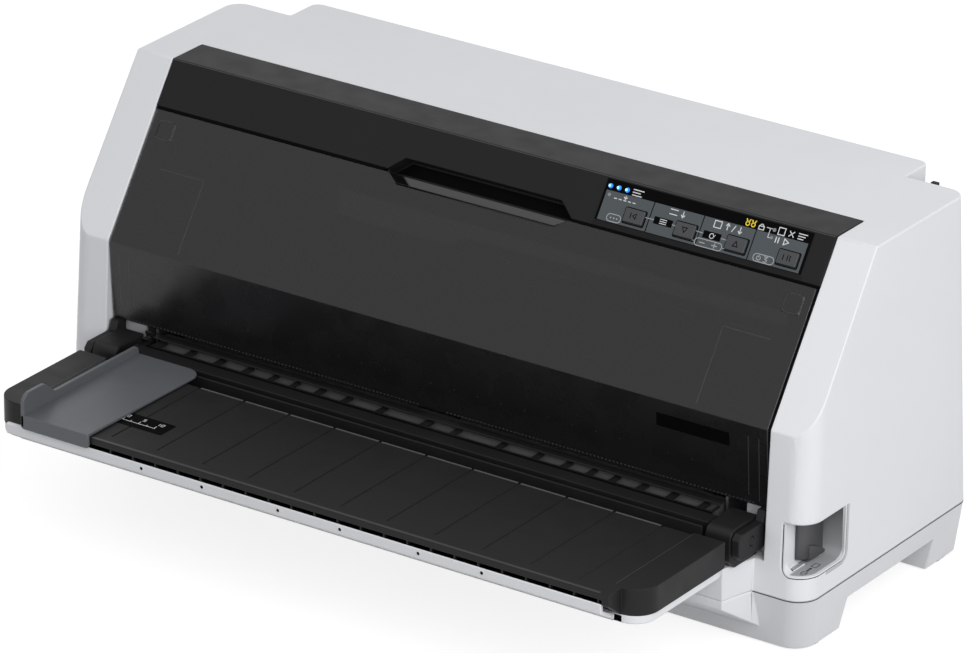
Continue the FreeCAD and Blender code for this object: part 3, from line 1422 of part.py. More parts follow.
bed = Piece("paper_bed_plate")
bed_low_z = s.bed_top_z - s.bed_skin
bed.pad("z", (bed_low_z, s.bed_top_z), box_loop(
    -s.frame_half, s.frame_half, s.bed_front_y, s.bed_rear_y))
for low in (s.bed_front_y, s.bed_rear_y - s.bed_skin):
    bed.pad("z", (bed_low_z - s.bed_flange, bed_low_z), box_loop(
        -s.frame_half, s.frame_half, low, low + s.bed_skin))
roller_room = s.roller_radius + s.panel_skin / 3
bed.pocket("z", (bed_low_z - s.overrun, s.bed_top_z + s.overrun), box_loop(
    -bed_slot_half, bed_slot_half, s.platen_y - s.platen_slot, s.platen_y + s.platen_slot),
    box_loop(-roller_half - s.panel_gap, roller_half + s.panel_gap,
             roller_rear_y - roller_room, roller_rear_y + roller_room))
keep("paper_bed", bed)

platen = Piece("platen_bar_body")
platen.pad("x", both(s.frame_half), [
    (s.platen_y - s.platen_half, s.platen_low_z), (s.platen_y + s.platen_half, s.platen_low_z),
    (s.platen_y + s.platen_half, bed_low_z - s.seat_gap),
    (s.platen_y + s.platen_half, s.paper_z - s.flange_rim),
    (s.platen_y + s.platen_half - s.flange_rim, s.paper_z),
    (s.platen_y - s.platen_half + s.flange_rim, s.paper_z),
    (s.platen_y - s.platen_half, s.paper_z - s.flange_rim)])
for low, high in ((-s.frame_half - s.overrun, -bed_slot_half + s.seat_gap),
                  (bed_slot_half - s.seat_gap, s.frame_half + s.overrun)):
    platen.pocket("z", (bed_low_z - s.seat_gap, s.paper_z + s.overrun), box_loop(
        low, high, s.platen_y - s.overrun, s.platen_y + s.overrun))
keep("platen_bar", platen)

# Feed rollers and pinch rollers, each turned about its own axis.

roller_end = s.frame_half + s.frame_thick + s.gear_step


def turned_roller(name, label, tyres, radius, shaft, y, z):
    """A shaft with tyres, whose ends are shares of half the length between the side frames."""
    roller = Piece(name)
    points = [(-roller_end, 0), (-roller_end, shaft)]
    for low, high in tyres:
        points += [(roller_half * low, shaft), (roller_half * low, radius),
                   (roller_half * high, radius), (roller_half * high, shaft)]
    points += [(roller_end, shaft), (roller_end, 0)]
    roller.turn(points)
    place(roller.body, 0, y, z)
    keep(label, roller)


gear_out = roller_end + s.gear_face
for name, y in (("front_feed", s.roller_front_y), ("rear_feed", roller_rear_y)):
    turned_roller(name, name + "_roller", WHOLE_SHARES, s.roller_radius, s.roller_shaft, y,
                  s.roller_z)
for name, y in (("front_pinch", pinch_front_y), ("rear_pinch", pinch_rear_y)):
    turned_roller(name, name + "_rollers", TYRE_SHARES, s.pinch_radius, s.pinch_shaft, y, pinch_z)


def gear_face(teeth, phase):
    """Straight-flank teeth on a disc, as a face in the YZ plane about the origin."""
    module = s.gear_module.value
    pitch = module * teeth / 2
    tip = pitch + module * TIP_SHARE
    root = pitch - module * ROOT_SHARE
    lean = math.tan(PRESSURE_ANGLE)
    half = math.pi * module / 4 - s.backlash.value / 2
    step = 2 * math.pi / teeth
    points = []
    for tooth in range(teeth):
        middle = phase + tooth * step
        for radius, side in ((root, -1), (tip, -1), (tip, 1), (root, 1)):
            wide = half - (radius - pitch) * lean
            wide = min(wide, math.pi * root / teeth * TIP_SHARE) if radius == root else wide
            angle = middle + side * wide / radius
            points.append(V(0, radius * math.cos(angle), radius * math.sin(angle)))
    points.append(points[0])
    return Part.Face(Part.makePolygon(points))


def gear(name, teeth, phase, bore, low, high, y, z, spokes=0):
    """A spur gear between two X positions with its bore, about an axis along X."""
    face = gear_face(teeth, phase)
    solid = face.extrude(V((high - low).value, 0, 0))
    if bore is not None:
        solid = solid.cut(Part.makeCylinder(bore.value, (high - low).value, V(0, 0, 0), V(1, 0, 0)))
    pitch = s.gear_module.value * teeth / 2
    hub = pitch * HUB_SHARE
    rim = pitch - s.gear_module.value * RIM_SHARE
    for row in range(spokes):
        angle = 2 * math.pi * (row + 0.5) / spokes
        middle = (hub + rim) / 2
        hole = Part.makeCylinder((rim - hub) / 2 * HOLE_SHARE, (high - low).value,
                                 V(0, middle * math.cos(angle), middle * math.sin(angle)),
                                 V(1, 0, 0))
        solid = solid.cut(hole)
    item = doc.addObject("Part::Feature", name)
    item.Shape = solid
    item.Placement = FreeCAD.Placement(V(low.value, y.value, z.value), FreeCAD.Rotation())
    return item


def mesh_phase(phase, teeth, other, angle):
    """Phase of a gear that meshes with another one, seen from it at an angle."""
    share = (angle - phase) * teeth / (2 * math.pi)
    return angle + math.pi - (0.5 - share) * 2 * math.pi / other


gear_low = -gear_out
gear_high = -roller_end
roller_phase = 0.0
transfer_phase = mesh_phase(roller_phase, ROLLER_TEETH, TRANSFER_TEETH, 0.0)
pinion_angle = math.atan2((feed_z - s.roller_z).value, (feed_y - transfer_y).value)
pinion_phase = mesh_phase(transfer_phase, TRANSFER_TEETH, PINION_TEETH, pinion_angle)
rear_phase = mesh_phase(transfer_phase, TRANSFER_TEETH, ROLLER_TEETH, 0.0)
idler_angle = math.atan2((idler_z - s.roller_z).value, (idler_y - roller_rear_y).value)
idler_phase = mesh_phase(rear_phase, ROLLER_TEETH, IDLER_TEETH, idler_angle)
tail_angle = math.atan2((s.tractor_z - idler_z).value, (s.tractor_y - idler_y).value)
tail_phase = mesh_phase(idler_phase, IDLER_TEETH, TRACTOR_TEETH, tail_angle)

keep("front_roller_gear", gear("front_gear", ROLLER_TEETH, roller_phase, None, gear_low,
                               gear_high, s.roller_front_y, s.roller_z))
keep("rear_roller_gear", gear("rear_gear", ROLLER_TEETH, rear_phase, None, gear_low,
                              gear_high, roller_rear_y, s.roller_z))
axle_gap = s.axle_radius + s.pin_gap
keep("transfer_gear", gear("middle_gear", TRANSFER_TEETH, transfer_phase, axle_gap, gear_low,
                           gear_high, transfer_y, s.roller_z, GEAR_HOLES))
keep("idler_gear", gear("small_gear", IDLER_TEETH, idler_phase, axle_gap, gear_low,
                        gear_high, idler_y, idler_z))
pinion = gear("pinion_teeth", PINION_TEETH, pinion_phase, None, gear_low, gear_high, feed_y, feed_z)
motor_front_x = -s.frame_half
pinion_shaft = rod("x", (gear_high, motor_front_x), feed_y, feed_z, s.feed_shaft)
keep("motor_pinion", fuse("pinion_on_shaft", [pinion, pinion_shaft]))

studs = []
for y, z in ((transfer_y, s.roller_z), (idler_y, idler_z)):
    studs.append(rod("x", (gear_low, -frame_out), y, z, s.axle_radius))
keep("side_frame_left", fuse("left_frame_with_studs", [left_frame] + studs))

feed = Piece("feed_motor_body")
feed.pad("x", (motor_front_x, motor_front_x + s.feed_long), box_loop(
    feed_y - s.feed_half, feed_y + s.feed_half, feed_z - s.feed_half, feed_z + s.feed_half))
feed.pocket("x", (motor_front_x - s.overrun, motor_front_x + s.feed_shaft), (
    "circle", feed_y, feed_z, s.feed_shaft * 2))
keep("feed_motor", feed)

# Tractors on a square drive shaft and a round rail.

square = Piece("square_shaft")
square.pad("x", (-roller_end, frame_out + s.gear_step), box_loop(
    s.tractor_y - s.square_half, s.tractor_y + s.square_half,
    s.tractor_z - s.square_half, s.tractor_z + s.square_half))
tail_gear = gear("tail_gear", TRACTOR_TEETH, tail_phase, None, gear_low, gear_high,
                 s.tractor_y, s.tractor_z)
keep("tractor_shaft", fuse("shaft_with_gear", [square, tail_gear]))
keep("tractor_rail", rod("x", both(frame_out), s.rail_y, s.rail_z, s.rail_radius))


def tractor(side, name):
    x = s.tractor_x * side
    body = Piece(name + "_body")
    body.pad("x", (x - s.tractor_half, x + s.tractor_half), box_loop(
        s.tractor_front_y, s.tractor_rear_y, s.tractor_low_z, s.tractor_top_z))
    room = s.wheel_radius + s.wheel_pin_high + s.seat_gap * 2
    half = s.wheel_wide / 2 + s.flange_rim
    body.pocket("x", (x - half, x + half), box_loop(
        s.tractor_y - room, s.tractor_y + room, s.tractor_low_z - s.overrun,
        s.tractor_top_z + s.overrun))
    body.pocket("x", (x - s.tractor_half - s.overrun, x + s.tractor_half + s.overrun),
                ("circle", s.tractor_y, s.tractor_z,
                 s.square_half * math.sqrt(2) + s.touch_gap * 2),
                ("circle", s.rail_y, s.rail_z, s.rail_radius + s.pin_gap))
    edge_x = x + s.tractor_half * side
    ear_in = edge_x - s.ear_long * side
    low, high = (edge_x, ear_in) if side < 0 else (ear_in, edge_x)
    lid_pin_z = s.lid_low_z + s.lid_skin / 2
    ear_top = lid_pin_z + s.lid_pin_radius * 2
    for near in (s.tractor_rear_y - s.lid_skin, s.tractor_rear_y - s.overrun):
        body.pad("z", (s.tractor_top_z - s.lid_skin, ear_top), box_loop(
            low, high, near, near + s.lid_skin))
    lid_pin_x = edge_x - s.ear_long / 2 * side
    body.pocket("y", (s.tractor_front_y, s.tractor_rear_y + s.overrun), (
        "circle", lid_pin_x, lid_pin_z, s.lid_pin_radius + s.pin_gap))
    keep("tractor_" + name, body)

    lid = Piece(name + "_lid")
    inner_x = x - s.tractor_half * side
    low, high = (edge_x, inner_x) if side < 0 else (inner_x, edge_x)
    lid.pad("z", (s.lid_low_z, s.lid_low_z + s.lid_skin), box_loop(
        low, high, s.tractor_rear_y - s.overrun + s.lid_skin + s.seat_gap,
        s.tractor_rear_y - s.lid_skin - s.seat_gap))
    lid.pad("y", (s.tractor_rear_y - s.overrun + s.seat_gap, s.tractor_rear_y - s.seat_gap), (
        "circle", lid_pin_x, lid_pin_z, s.lid_pin_radius))
    keep("tractor_lid_" + name, lid)
    wheel(side, name)
    return lid


def wheel(side, name):
    x = s.tractor_x * side
    half = s.wheel_wide / 2
    disc = Piece(name + "_wheel")
    disc.pad("x", (x - half, x + half), ("circle", s.tractor_y, s.tractor_z, s.wheel_radius))
    rim = s.square_half + s.square_gap
    disc.pocket("x", (x - half - s.overrun, x + half + s.overrun), box_loop(
        s.tractor_y - rim, s.tractor_y + rim, s.tractor_z - rim, s.tractor_z + rim))
    seat = s.wheel_radius - s.flange_rim
    tip = s.wheel_radius + s.wheel_pin_high
    pins = []
    for row in range(WHEEL_PINS):
        angle = 2 * math.pi * (row + 0.5) / WHEEL_PINS
        points = []
        for out, aside in ((seat, -s.wheel_pin_radius), (tip, -s.wheel_pin_radius / 2),
                           (tip, s.wheel_pin_radius / 2), (seat, s.wheel_pin_radius)):
            points.append((s.tractor_y + out * math.cos(angle) - aside * math.sin(angle),
                           s.tractor_z + out * math.sin(angle) + aside * math.cos(angle)))
        pins.append(points)
    disc.pad("x", (x - s.wheel_pin_radius, x + s.wheel_pin_radius), *pins)
    keep("pin_wheel_" + name, disc)


tractor(-1, "left")
tractor(1, "right")

# Print carriage on its guide shaft, with the head that points down at the platen.

guide_shaft = rod("x", both(frame_out + s.gear_step), s.shaft_y, s.shaft_z, s.shaft_radius)
keep("guide_shaft", guide_shaft)

rail = Piece("upper_rail")
t = s.guide_rail_skin
rail.pad("x", both(s.frame_half), [
    (s.guide_rail_front_y, s.guide_rail_z), (s.guide_rail_rear_y, s.guide_rail_z),
    (s.guide_rail_rear_y, s.guide_rail_z + s.guide_rail_high),
    (s.guide_rail_rear_y - t, s.guide_rail_z + s.guide_rail_high),
    (s.guide_rail_rear_y - t, s.guide_rail_z + t), (s.guide_rail_front_y, s.guide_rail_z + t)])
keep("guide_rail", rail)

home = s.carriage_home_x
wide = (home - s.carriage_half, home + s.carriage_half)
carriage = Piece("carriage_body")
carriage.pad("x", wide, box_loop(
    s.carriage_front_y, s.carriage_rear_y, s.carriage_low_z, s.carriage_high_z))
carriage.pocket("x", (wide[0] - s.overrun, wide[1] + s.overrun), (
    "circle", s.shaft_y, s.shaft_z, s.shaft_radius + s.pin_gap * 2))
shoe_low = s.guide_rail_z - s.seat_gap - t
carriage.pad("x", (home - s.carriage_half / 2, home + s.carriage_half / 2), [
    (s.carriage_rear_y - t, s.carriage_high_z - t * 4),
    (s.guide_rail_rear_y + t * 2, s.carriage_high_z - t * 4),
    (s.guide_rail_rear_y + t * 2, shoe_low), (s.guide_rail_front_y, shoe_low),
    (s.guide_rail_front_y, s.guide_rail_z - s.seat_gap),
    (s.guide_rail_front_y - t, s.guide_rail_z - s.seat_gap),
    (s.guide_rail_front_y - t, s.carriage_high_z), (s.carriage_rear_y - t, s.carriage_high_z)])
clamp_y = s.belt_y - s.pulley_radius - s.belt_thick
carriage.pad("x", (home - s.carriage_half / 3, home + s.carriage_half / 3), [
    (s.guide_rail_rear_y, s.belt_low_z - t), (clamp_y + s.belt_thick + t + s.seat_gap,
                                             s.belt_low_z - t),
    (clamp_y + s.belt_thick + t + s.seat_gap, s.belt_low_z + s.belt_high),
    (clamp_y + s.belt_thick + s.seat_gap, s.belt_low_z + s.belt_high),
    (clamp_y + s.belt_thick + s.seat_gap, s.belt_low_z - s.seat_gap),
    (clamp_y - s.seat_gap, s.belt_low_z - s.seat_gap),
    (clamp_y - s.seat_gap, s.belt_low_z + s.belt_high),
    (s.guide_rail_rear_y, s.belt_low_z + s.belt_high)])
head_hole = s.head_radius + s.seat_gap
carriage.pad("z", (s.carriage_low_z, s.carriage_low_z + t * 4), box_loop(
    wide[0], wide[1], s.platen_y - s.head_radius, s.carriage_front_y))
carriage.pocket("z", (s.carriage_low_z - s.overrun, s.carriage_low_z + t * 4), box_loop(
    home - s.nose_half_x - s.seat_gap, home + s.nose_half_x + s.seat_gap,
    s.platen_y - s.nose_half_y - s.seat_gap, s.platen_y + s.nose_half_y + s.seat_gap))
keep("carriage", carriage)

head_seat_z = s.carriage_low_z + t * 4
head = Piece("print_head_body")
head_y = s.platen_y
fins_low = head_seat_z + s.fin_pitch
core_share = 0.72
fin_corner_share = 0.6
core = s.head_radius * core_share
fins_top = fins_low + s.fin_pitch * HEAD_FINS


def fin_loop(half):
    """A square with its corners cut, about the axis of the head."""
    near = half * fin_corner_share
    return [(-near, -half), (near, -half), (half, -near), (half, near), (near, half),
            (-near, half), (-half, near), (-half, -near)]


head.pad("z", (head_seat_z, fins_top), fin_loop(core))
for row in range(HEAD_FINS):
    low = fins_low + s.fin_pitch * row
    head.pad("z", (low, low + s.fin_thick), fin_loop(core + s.fin_thick))
head.pad("z", (s.head_nose_z, head_seat_z + s.fin_thick), box_loop(
    -s.nose_half_x, s.nose_half_x, -s.nose_half_y, s.nose_half_y))
place(head.body, home, head_y, 0)
keep("print_head", head)

belt = Piece("belt_loop")
out = s.pulley_radius + s.belt_thick
belt.pad("z", (s.belt_low_z, s.belt_low_z + s.belt_high),
         ("round", -s.pulley_x - out, s.pulley_x + out, s.belt_y - out, s.belt_y + out,
          out - s.touch_gap))
belt.pocket("z", (s.belt_low_z - s.overrun, s.belt_low_z + s.belt_high + s.overrun),
            ("round", -s.pulley_x - s.pulley_radius, s.pulley_x + s.pulley_radius,
             s.belt_y - s.pulley_radius, s.belt_y + s.pulley_radius,
             s.pulley_radius - s.touch_gap))
keep("drive_belt", belt)

pulley_rim = s.pulley_radius - s.seat_gap
pulley_top = s.belt_low_z + s.belt_high + s.belt_thick


def pulley(name, label, x, shaft_top, bore):
    item = Piece(name)
    item.pad("z", (s.belt_low_z - s.belt_thick / 2, pulley_top), ("circle", x, s.belt_y, pulley_rim))
    item.pad("z", (s.belt_low_z - s.belt_thick, s.belt_low_z - s.belt_thick / 2), (
        "circle", x, s.belt_y, s.pulley_radius + s.belt_thick / 2))
    if bore is None:
        item.pad("z", (pulley_top, shaft_top), ("circle", x, s.belt_y, s.axle_radius))
    else:
        item.pocket("z", (s.belt_low_z - s.overrun, pulley_top + s.overrun), (
            "circle", x, s.belt_y, bore))
    keep(label, item)


pulley("motor_side_pulley", "motor_pulley", -s.pulley_x, s.drive_low_z, None)
pulley("end_side_pulley", "end_pulley", s.pulley_x, pulley_top, s.axle_radius + s.pin_gap)

bracket_low = s.drive_low_z - s.bracket_thick
drive = Piece("carriage_motor_body")
drive.pad("z", (s.drive_low_z, s.drive_low_z + s.drive_high), (
    "circle", -s.pulley_x + s.bracket_thick, s.belt_y, s.drive_radius - s.bracket_thick))
drive.pad("z", (bracket_low, s.drive_low_z), box_loop(
    -s.frame_half, -s.pulley_x + s.drive_radius, s.guide_rail_rear_y + s.seat_gap * 4,
    s.belt_y + s.drive_radius))
drive.pad("x", (-s.frame_half, -s.frame_half + s.bracket_thick), box_loop(
    s.guide_rail_rear_y + s.seat_gap * 4, s.belt_y + s.drive_radius,
    s.frame_tail_z - s.bracket_foot, s.drive_low_z))
drive.pocket("z", (bracket_low - s.overrun, s.drive_low_z), (
    "circle", -s.pulley_x, s.belt_y, s.axle_radius + s.pin_gap))
keep("carriage_motor", drive)

tension = Piece("tension_bracket")
tension.pad("z", (bracket_low, s.drive_low_z), box_loop(
    s.pulley_x - s.drive_radius, s.frame_half, s.guide_rail_rear_y + s.seat_gap * 4,
    s.belt_y + s.drive_radius))
tension.pad("x", (s.frame_half - s.bracket_thick, s.frame_half), box_loop(
    s.guide_rail_rear_y + s.seat_gap * 4, s.belt_y + s.drive_radius,
    s.frame_tail_z - s.bracket_foot, s.drive_low_z))
tension.pad("z", (s.belt_low_z - s.belt_thick, bracket_low), (
    "circle", s.pulley_x, s.belt_y, s.axle_radius))
keep("side_frame_right", fuse("right_frame_with_bracket", [right_frame, tension]))

# Ribbon cartridge across the machine, ribbon under the head, and the knob that winds it.

cartridge = Piece("cartridge_body")
cart_low = cartridge_seat_z
cart_high = cart_low + s.cartridge_high
cartridge.pad("z", (cart_low, cart_high), box_loop(
    -cartridge_half, cartridge_half, s.cartridge_front_y, s.cartridge_rear_y))
tab_end = frame_out + s.seat_gap
for low, high in ((cartridge_half, tab_end), (-tab_end, -cartridge_half)):
    cartridge.pad("z", (cart_low, cart_low + s.cartridge_tab), box_loop(
        low, high, s.cartridge_front_y + s.overrun, s.cartridge_rear_y))
ribbon_edge = s.ribbon_wide / 2
for side in (-1, 1):
    near = side * ribbon_arm_in_half
    far = side * (ribbon_arm_in_half + s.ribbon_arm_half_y * 2)
    low, high = (far, near) if side < 0 else (near, far)
    cartridge.pad("z", (s.ribbon_low_z, cart_low), box_loop(
        low, high, s.platen_y - s.ribbon_arm_half_y, s.platen_y + s.ribbon_arm_half_y))
cartridge.pocket("z", (cart_high - s.knob_sink, cart_high + s.overrun), (
    "circle", s.knob_x, s.knob_y, s.knob_radius + s.seat_gap * 2))
cartridge.pocket("z", (cart_low + s.cartridge_tab, cart_high - s.knob_sink + s.overrun), (
    "circle", s.knob_x, s.knob_y, s.knob_shaft + s.pin_gap))
keep("ribbon_cartridge", cartridge)

ribbon_in = ribbon_arm_in_half
keep("ribbon", slab(both(ribbon_in), (s.platen_y - ribbon_edge, s.platen_y + ribbon_edge),
                    (s.ribbon_low_z, s.ribbon_low_z + s.ribbon_thick)))

knob = Piece("knob_body")
knob_low = cart_high - s.knob_sink + s.seat_gap
knob.pad("z", (knob_low, knob_low + s.knob_high), ("circle", s.knob_x, s.knob_y, s.knob_radius))
grip_share = 0.8
knob.pad("z", (knob_low + s.knob_high, knob_low + s.knob_high + s.knob_sink), box_loop(
    s.knob_x - s.knob_radius * grip_share, s.knob_x + s.knob_radius * grip_share,
    s.knob_y - s.knob_shaft / 2, s.knob_y + s.knob_shaft / 2))
knob.pad("z", (cart_low + s.cartridge_tab + s.seat_gap, knob_low), (
    "circle", s.knob_x, s.knob_y, s.knob_shaft))
keep("ribbon_knob", knob)

# Electronics and the sockets in the rear wall.

supply = Piece("power_supply_box")
supply.pad("z", (frame_low_z, frame_low_z + s.supply_high), box_loop(
    s.supply_left_x, s.supply_right_x, s.supply_front_y, s.supply_rear_y))
vent_pitch = (s.supply_right_x - s.supply_left_x) / (SUPPLY_VENTS + 1)
supply.pocket("z", (frame_low_z + s.supply_high - s.base_thick,
                    frame_low_z + s.supply_high + s.overrun), *[
    box_loop(s.supply_left_x + vent_pitch * (row + 1) - s.screw_radius,
             s.supply_left_x + vent_pitch * (row + 1) + s.screw_radius,
             mix(s.supply_front_y, s.supply_rear_y, rise_shares[0]),
             mix(s.supply_front_y, s.supply_rear_y, rise_shares[1])) for row in range(SUPPLY_VENTS)])
keep("power_supply", supply)

main = Piece("main_board_plate")
main_low = frame_low_z + s.standoff
main.pad("z", (main_low, main_low + s.main_skin), box_loop(
    s.main_left_x, s.main_right_x, s.main_front_y, s.main_rear_y))
corner_shares = ((0.05, 0.08), (0.95, 0.08), (0.95, 0.92), (0.05, 0.92))
main.pad("z", (frame_low_z, main_low), *[
    square_loop(mix(s.main_left_x, s.main_right_x, a), mix(s.main_front_y, s.main_rear_y, b),
                s.standoff_radius) for a, b in corner_shares])
chip_shares = ((0.12, 0.34, 0.2, 0.45), (0.42, 0.52, 0.2, 0.55), (0.6, 0.85, 0.25, 0.4),
               (0.15, 0.3, 0.6, 0.8), (0.4, 0.9, 0.62, 0.7))
main.pad("z", (main_low + s.main_skin, main_low + s.main_skin + s.standoff / 2), *[
    box_loop(mix(s.main_left_x, s.main_right_x, a), mix(s.main_left_x, s.main_right_x, b),
             mix(s.main_front_y, s.main_rear_y, c2), mix(s.main_front_y, s.main_rear_y, d))
    for a, b, c2, d in chip_shares])
keep("main_board", main)

inlet = Piece("power_inlet_body")
inlet_rear_y = rear_line(-s.inlet_proud, s.inlet_low_z)
inlet.pad("y", (s.inlet_front_y, inlet_rear_y), box_loop(
    s.inlet_x - s.inlet_half, s.inlet_x + s.inlet_half, s.inlet_low_z, s.inlet_high_z))
inlet.pocket("y", (inlet_rear_y - s.inlet_deep, inlet_rear_y + s.overrun), box_loop(
    s.inlet_x - s.inlet_half + s.inlet_wall, s.inlet_x + s.inlet_half - s.inlet_wall,
    s.inlet_low_z + s.inlet_wall, s.inlet_high_z - s.inlet_wall))
blade = s.blade_half
inlet_mid_z = (s.inlet_low_z + s.inlet_high_z) / 2
blade_shares = ((-0.5, -0.1), (0.5, -0.1), (0.0, 0.18))
inlet.pad("y", (inlet_rear_y - s.inlet_deep, inlet_rear_y - s.inlet_wall * 2), *[
    box_loop(s.inlet_x + s.inlet_half * a - blade, s.inlet_x + s.inlet_half * a + blade,
             inlet_mid_z + s.inlet_half * b - blade * 2, inlet_mid_z + s.inlet_half * b + blade * 2)
    for a, b in blade_shares])
keep("power_inlet", inlet)

ports = Piece("port_block_body")
ports_rear = rear_line(s.case_wall + s.seat_gap, s.ports_high_z)
ports_out = rear_line(0, s.ports_high_z)
ports.pad("y", (s.ports_front_y, ports_rear), box_loop(
    s.ports_left_x, s.ports_right_x, s.ports_low_z, s.ports_high_z))
port_list = ((s.wide_port_x, s.wide_port_half), (s.small_port_x, s.small_port_half))
ports.pad("y", (ports_rear, ports_out), *[
    box_loop(x - half, x + half, s.port_low_z, s.port_high_z) for x, half in port_list])
ports.pocket("y", (ports_out - s.port_deep, ports_out + s.overrun), *[
    box_loop(x - half + s.port_wall, x + half - s.port_wall, s.port_low_z + s.port_wall,
             s.port_high_z - s.port_wall) for x, half in port_list])
keep("port_block", ports)

# Rear: the black hook beside the hood and the folding rear paper guide.

hook = Piece("rear_hook")
hook.pad("x", (s.hook_in_half, s.hook_out_half), [
    (rear_line(0, hook_low_z), hook_low_z), (s.hook_tip_y, hook_low_z + s.ledge / 2),
    (s.hook_tip_y, hook_high_z), (s.hook_tip_y - s.ledge / 2, hook_high_z),
    (s.hook_tip_y - s.ledge / 2, hook_low_z + s.ledge),
    (s.hook_throat_y - s.ledge / 2, hook_low_z + s.ledge),
    (s.hook_throat_y - s.ledge / 2, hook_high_z), (rear_line(0, hook_high_z), hook_high_z)])
keep("rear_hooks", hook)

rear = Piece("rear_guide_frame")
half = s.rear_guide_half
guide_low = s.rear_hinge_z - s.rear_guide_skin / 2
guide_high = s.rear_hinge_z + s.rear_guide_skin / 2
rear.pad("z", (guide_low, guide_high), (
    "round", -half, half, s.rear_hinge_y - s.rear_hub_radius, s.rear_guide_y,
    s.rear_hub_radius - s.rear_guide_skin / 3))
cell = (half * 2 - s.rear_bar_wide) / REAR_CELLS
rear.pocket("z", (guide_low - s.overrun, guide_high + s.overrun), *[
    box_loop(-half + s.rear_bar_wide + cell * row, -half + cell * (row + 1),
             s.rear_hinge_y + s.rear_hub_radius + s.rear_bar_wide / 2,
             s.rear_guide_y - s.rear_bar_wide) for row in range(REAR_CELLS)])
rear.pad("x", both(half), ("circle", s.rear_hinge_y, s.rear_hinge_z, s.rear_hub_radius))
pin_far = half + s.rear_arm_wide / 4 + s.rear_ear_wide
rear.pad("x", both(pin_far), ("circle", s.rear_hinge_y, s.rear_hinge_z, s.rear_pin_radius))
keep("rear_guide", rear)

doc.recompute()

# Every pocket must have removed something, and every piece must be sound.
for item in doc.Objects:
    states = item.State
    if "Invalid" in states or "Error" in states:
        raise RuntimeError(f"{item.Name} ({item.Label}) failed: {states}")
    if item.TypeId == "PartDesign::Pocket":
        before = item.BaseFeature.Shape.Volume
        if not item.Shape.Volume < before * (1 - 1e-9):
            raise RuntimeError(f"{item.Name} removes nothing")
names = [node.Label for node in NODES]
if len(names) != len(set(names)):
    raise RuntimeError("two pieces share a name")
for node in NODES:
    if node.Shape.isNull() or not node.Shape.isValid():
        raise RuntimeError(f"{node.Label} is not a sound solid")
for node in NODES:
    node.Shape.exportStep(f"parts/{node.Label}.step")
print(len(NODES), "pieces written")
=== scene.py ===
import json
import math

import bmesh
import bpy
from mathutils import Matrix, Vector
from mathutils.bvhtree import BVHTree


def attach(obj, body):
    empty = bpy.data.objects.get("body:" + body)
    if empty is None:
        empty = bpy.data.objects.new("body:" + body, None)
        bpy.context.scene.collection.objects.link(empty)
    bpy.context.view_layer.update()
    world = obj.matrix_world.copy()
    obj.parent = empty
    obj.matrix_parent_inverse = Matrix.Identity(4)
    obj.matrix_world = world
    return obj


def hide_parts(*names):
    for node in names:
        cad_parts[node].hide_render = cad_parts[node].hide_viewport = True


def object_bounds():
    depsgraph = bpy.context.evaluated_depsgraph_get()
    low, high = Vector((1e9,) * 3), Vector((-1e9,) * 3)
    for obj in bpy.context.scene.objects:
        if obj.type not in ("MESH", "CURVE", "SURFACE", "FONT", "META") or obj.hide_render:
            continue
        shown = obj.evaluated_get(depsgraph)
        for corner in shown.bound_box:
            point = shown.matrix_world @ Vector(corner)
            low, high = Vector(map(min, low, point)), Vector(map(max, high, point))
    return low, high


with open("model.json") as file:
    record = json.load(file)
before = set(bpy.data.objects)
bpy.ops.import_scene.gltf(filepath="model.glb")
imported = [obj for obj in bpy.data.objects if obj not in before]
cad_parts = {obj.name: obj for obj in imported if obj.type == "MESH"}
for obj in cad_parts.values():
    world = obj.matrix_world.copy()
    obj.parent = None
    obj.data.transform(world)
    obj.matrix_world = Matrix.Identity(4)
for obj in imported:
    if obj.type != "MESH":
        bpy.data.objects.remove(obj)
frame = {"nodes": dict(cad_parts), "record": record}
cad_box = [list(map(float, corner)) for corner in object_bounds()]
nodes = frame["nodes"]
node_body = {n: body for body, members in frame["record"]["behaviour"]["bodies"].items() for n in members}
node_slot = {row["node"]: row["material_slot"] for row in frame["record"]["subparts"]}
scene = bpy.context.scene

# Lengths are in millimetres and are turned into metres where a point is made.

MM = 0.001
CASE_HALF = round(cad_box[1][0] / MM, 2)
CASE_HEIGHT = round(cad_box[1][2] / MM, 2)
PART_FRONT = round(cad_box[0][1] / MM, 2)
SLOPE_TOP = -3.8
SLOPE_RUN, SLOPE_DROP = 0.5680, 0.8231

# Camera, solved from the photograph's straight edges.

AZIMUTH, ELEVATION, ROLL = (math.radians(v) for v in (34.403, 23.684, 0.54))
PIXEL_WIDTH, PIXEL_FOCAL = 966.0, 7029.723
PIXEL_SHIFT_X, PIXEL_SHIFT_Y = 12.317, 181.938
DISTANCE = 3752.516
FIT_SCALE = 0.99
FIT_MOVE = Vector((0.0, SLOPE_TOP, CASE_HEIGHT))
SENSOR = 36.0
SIGHT = 50000.0


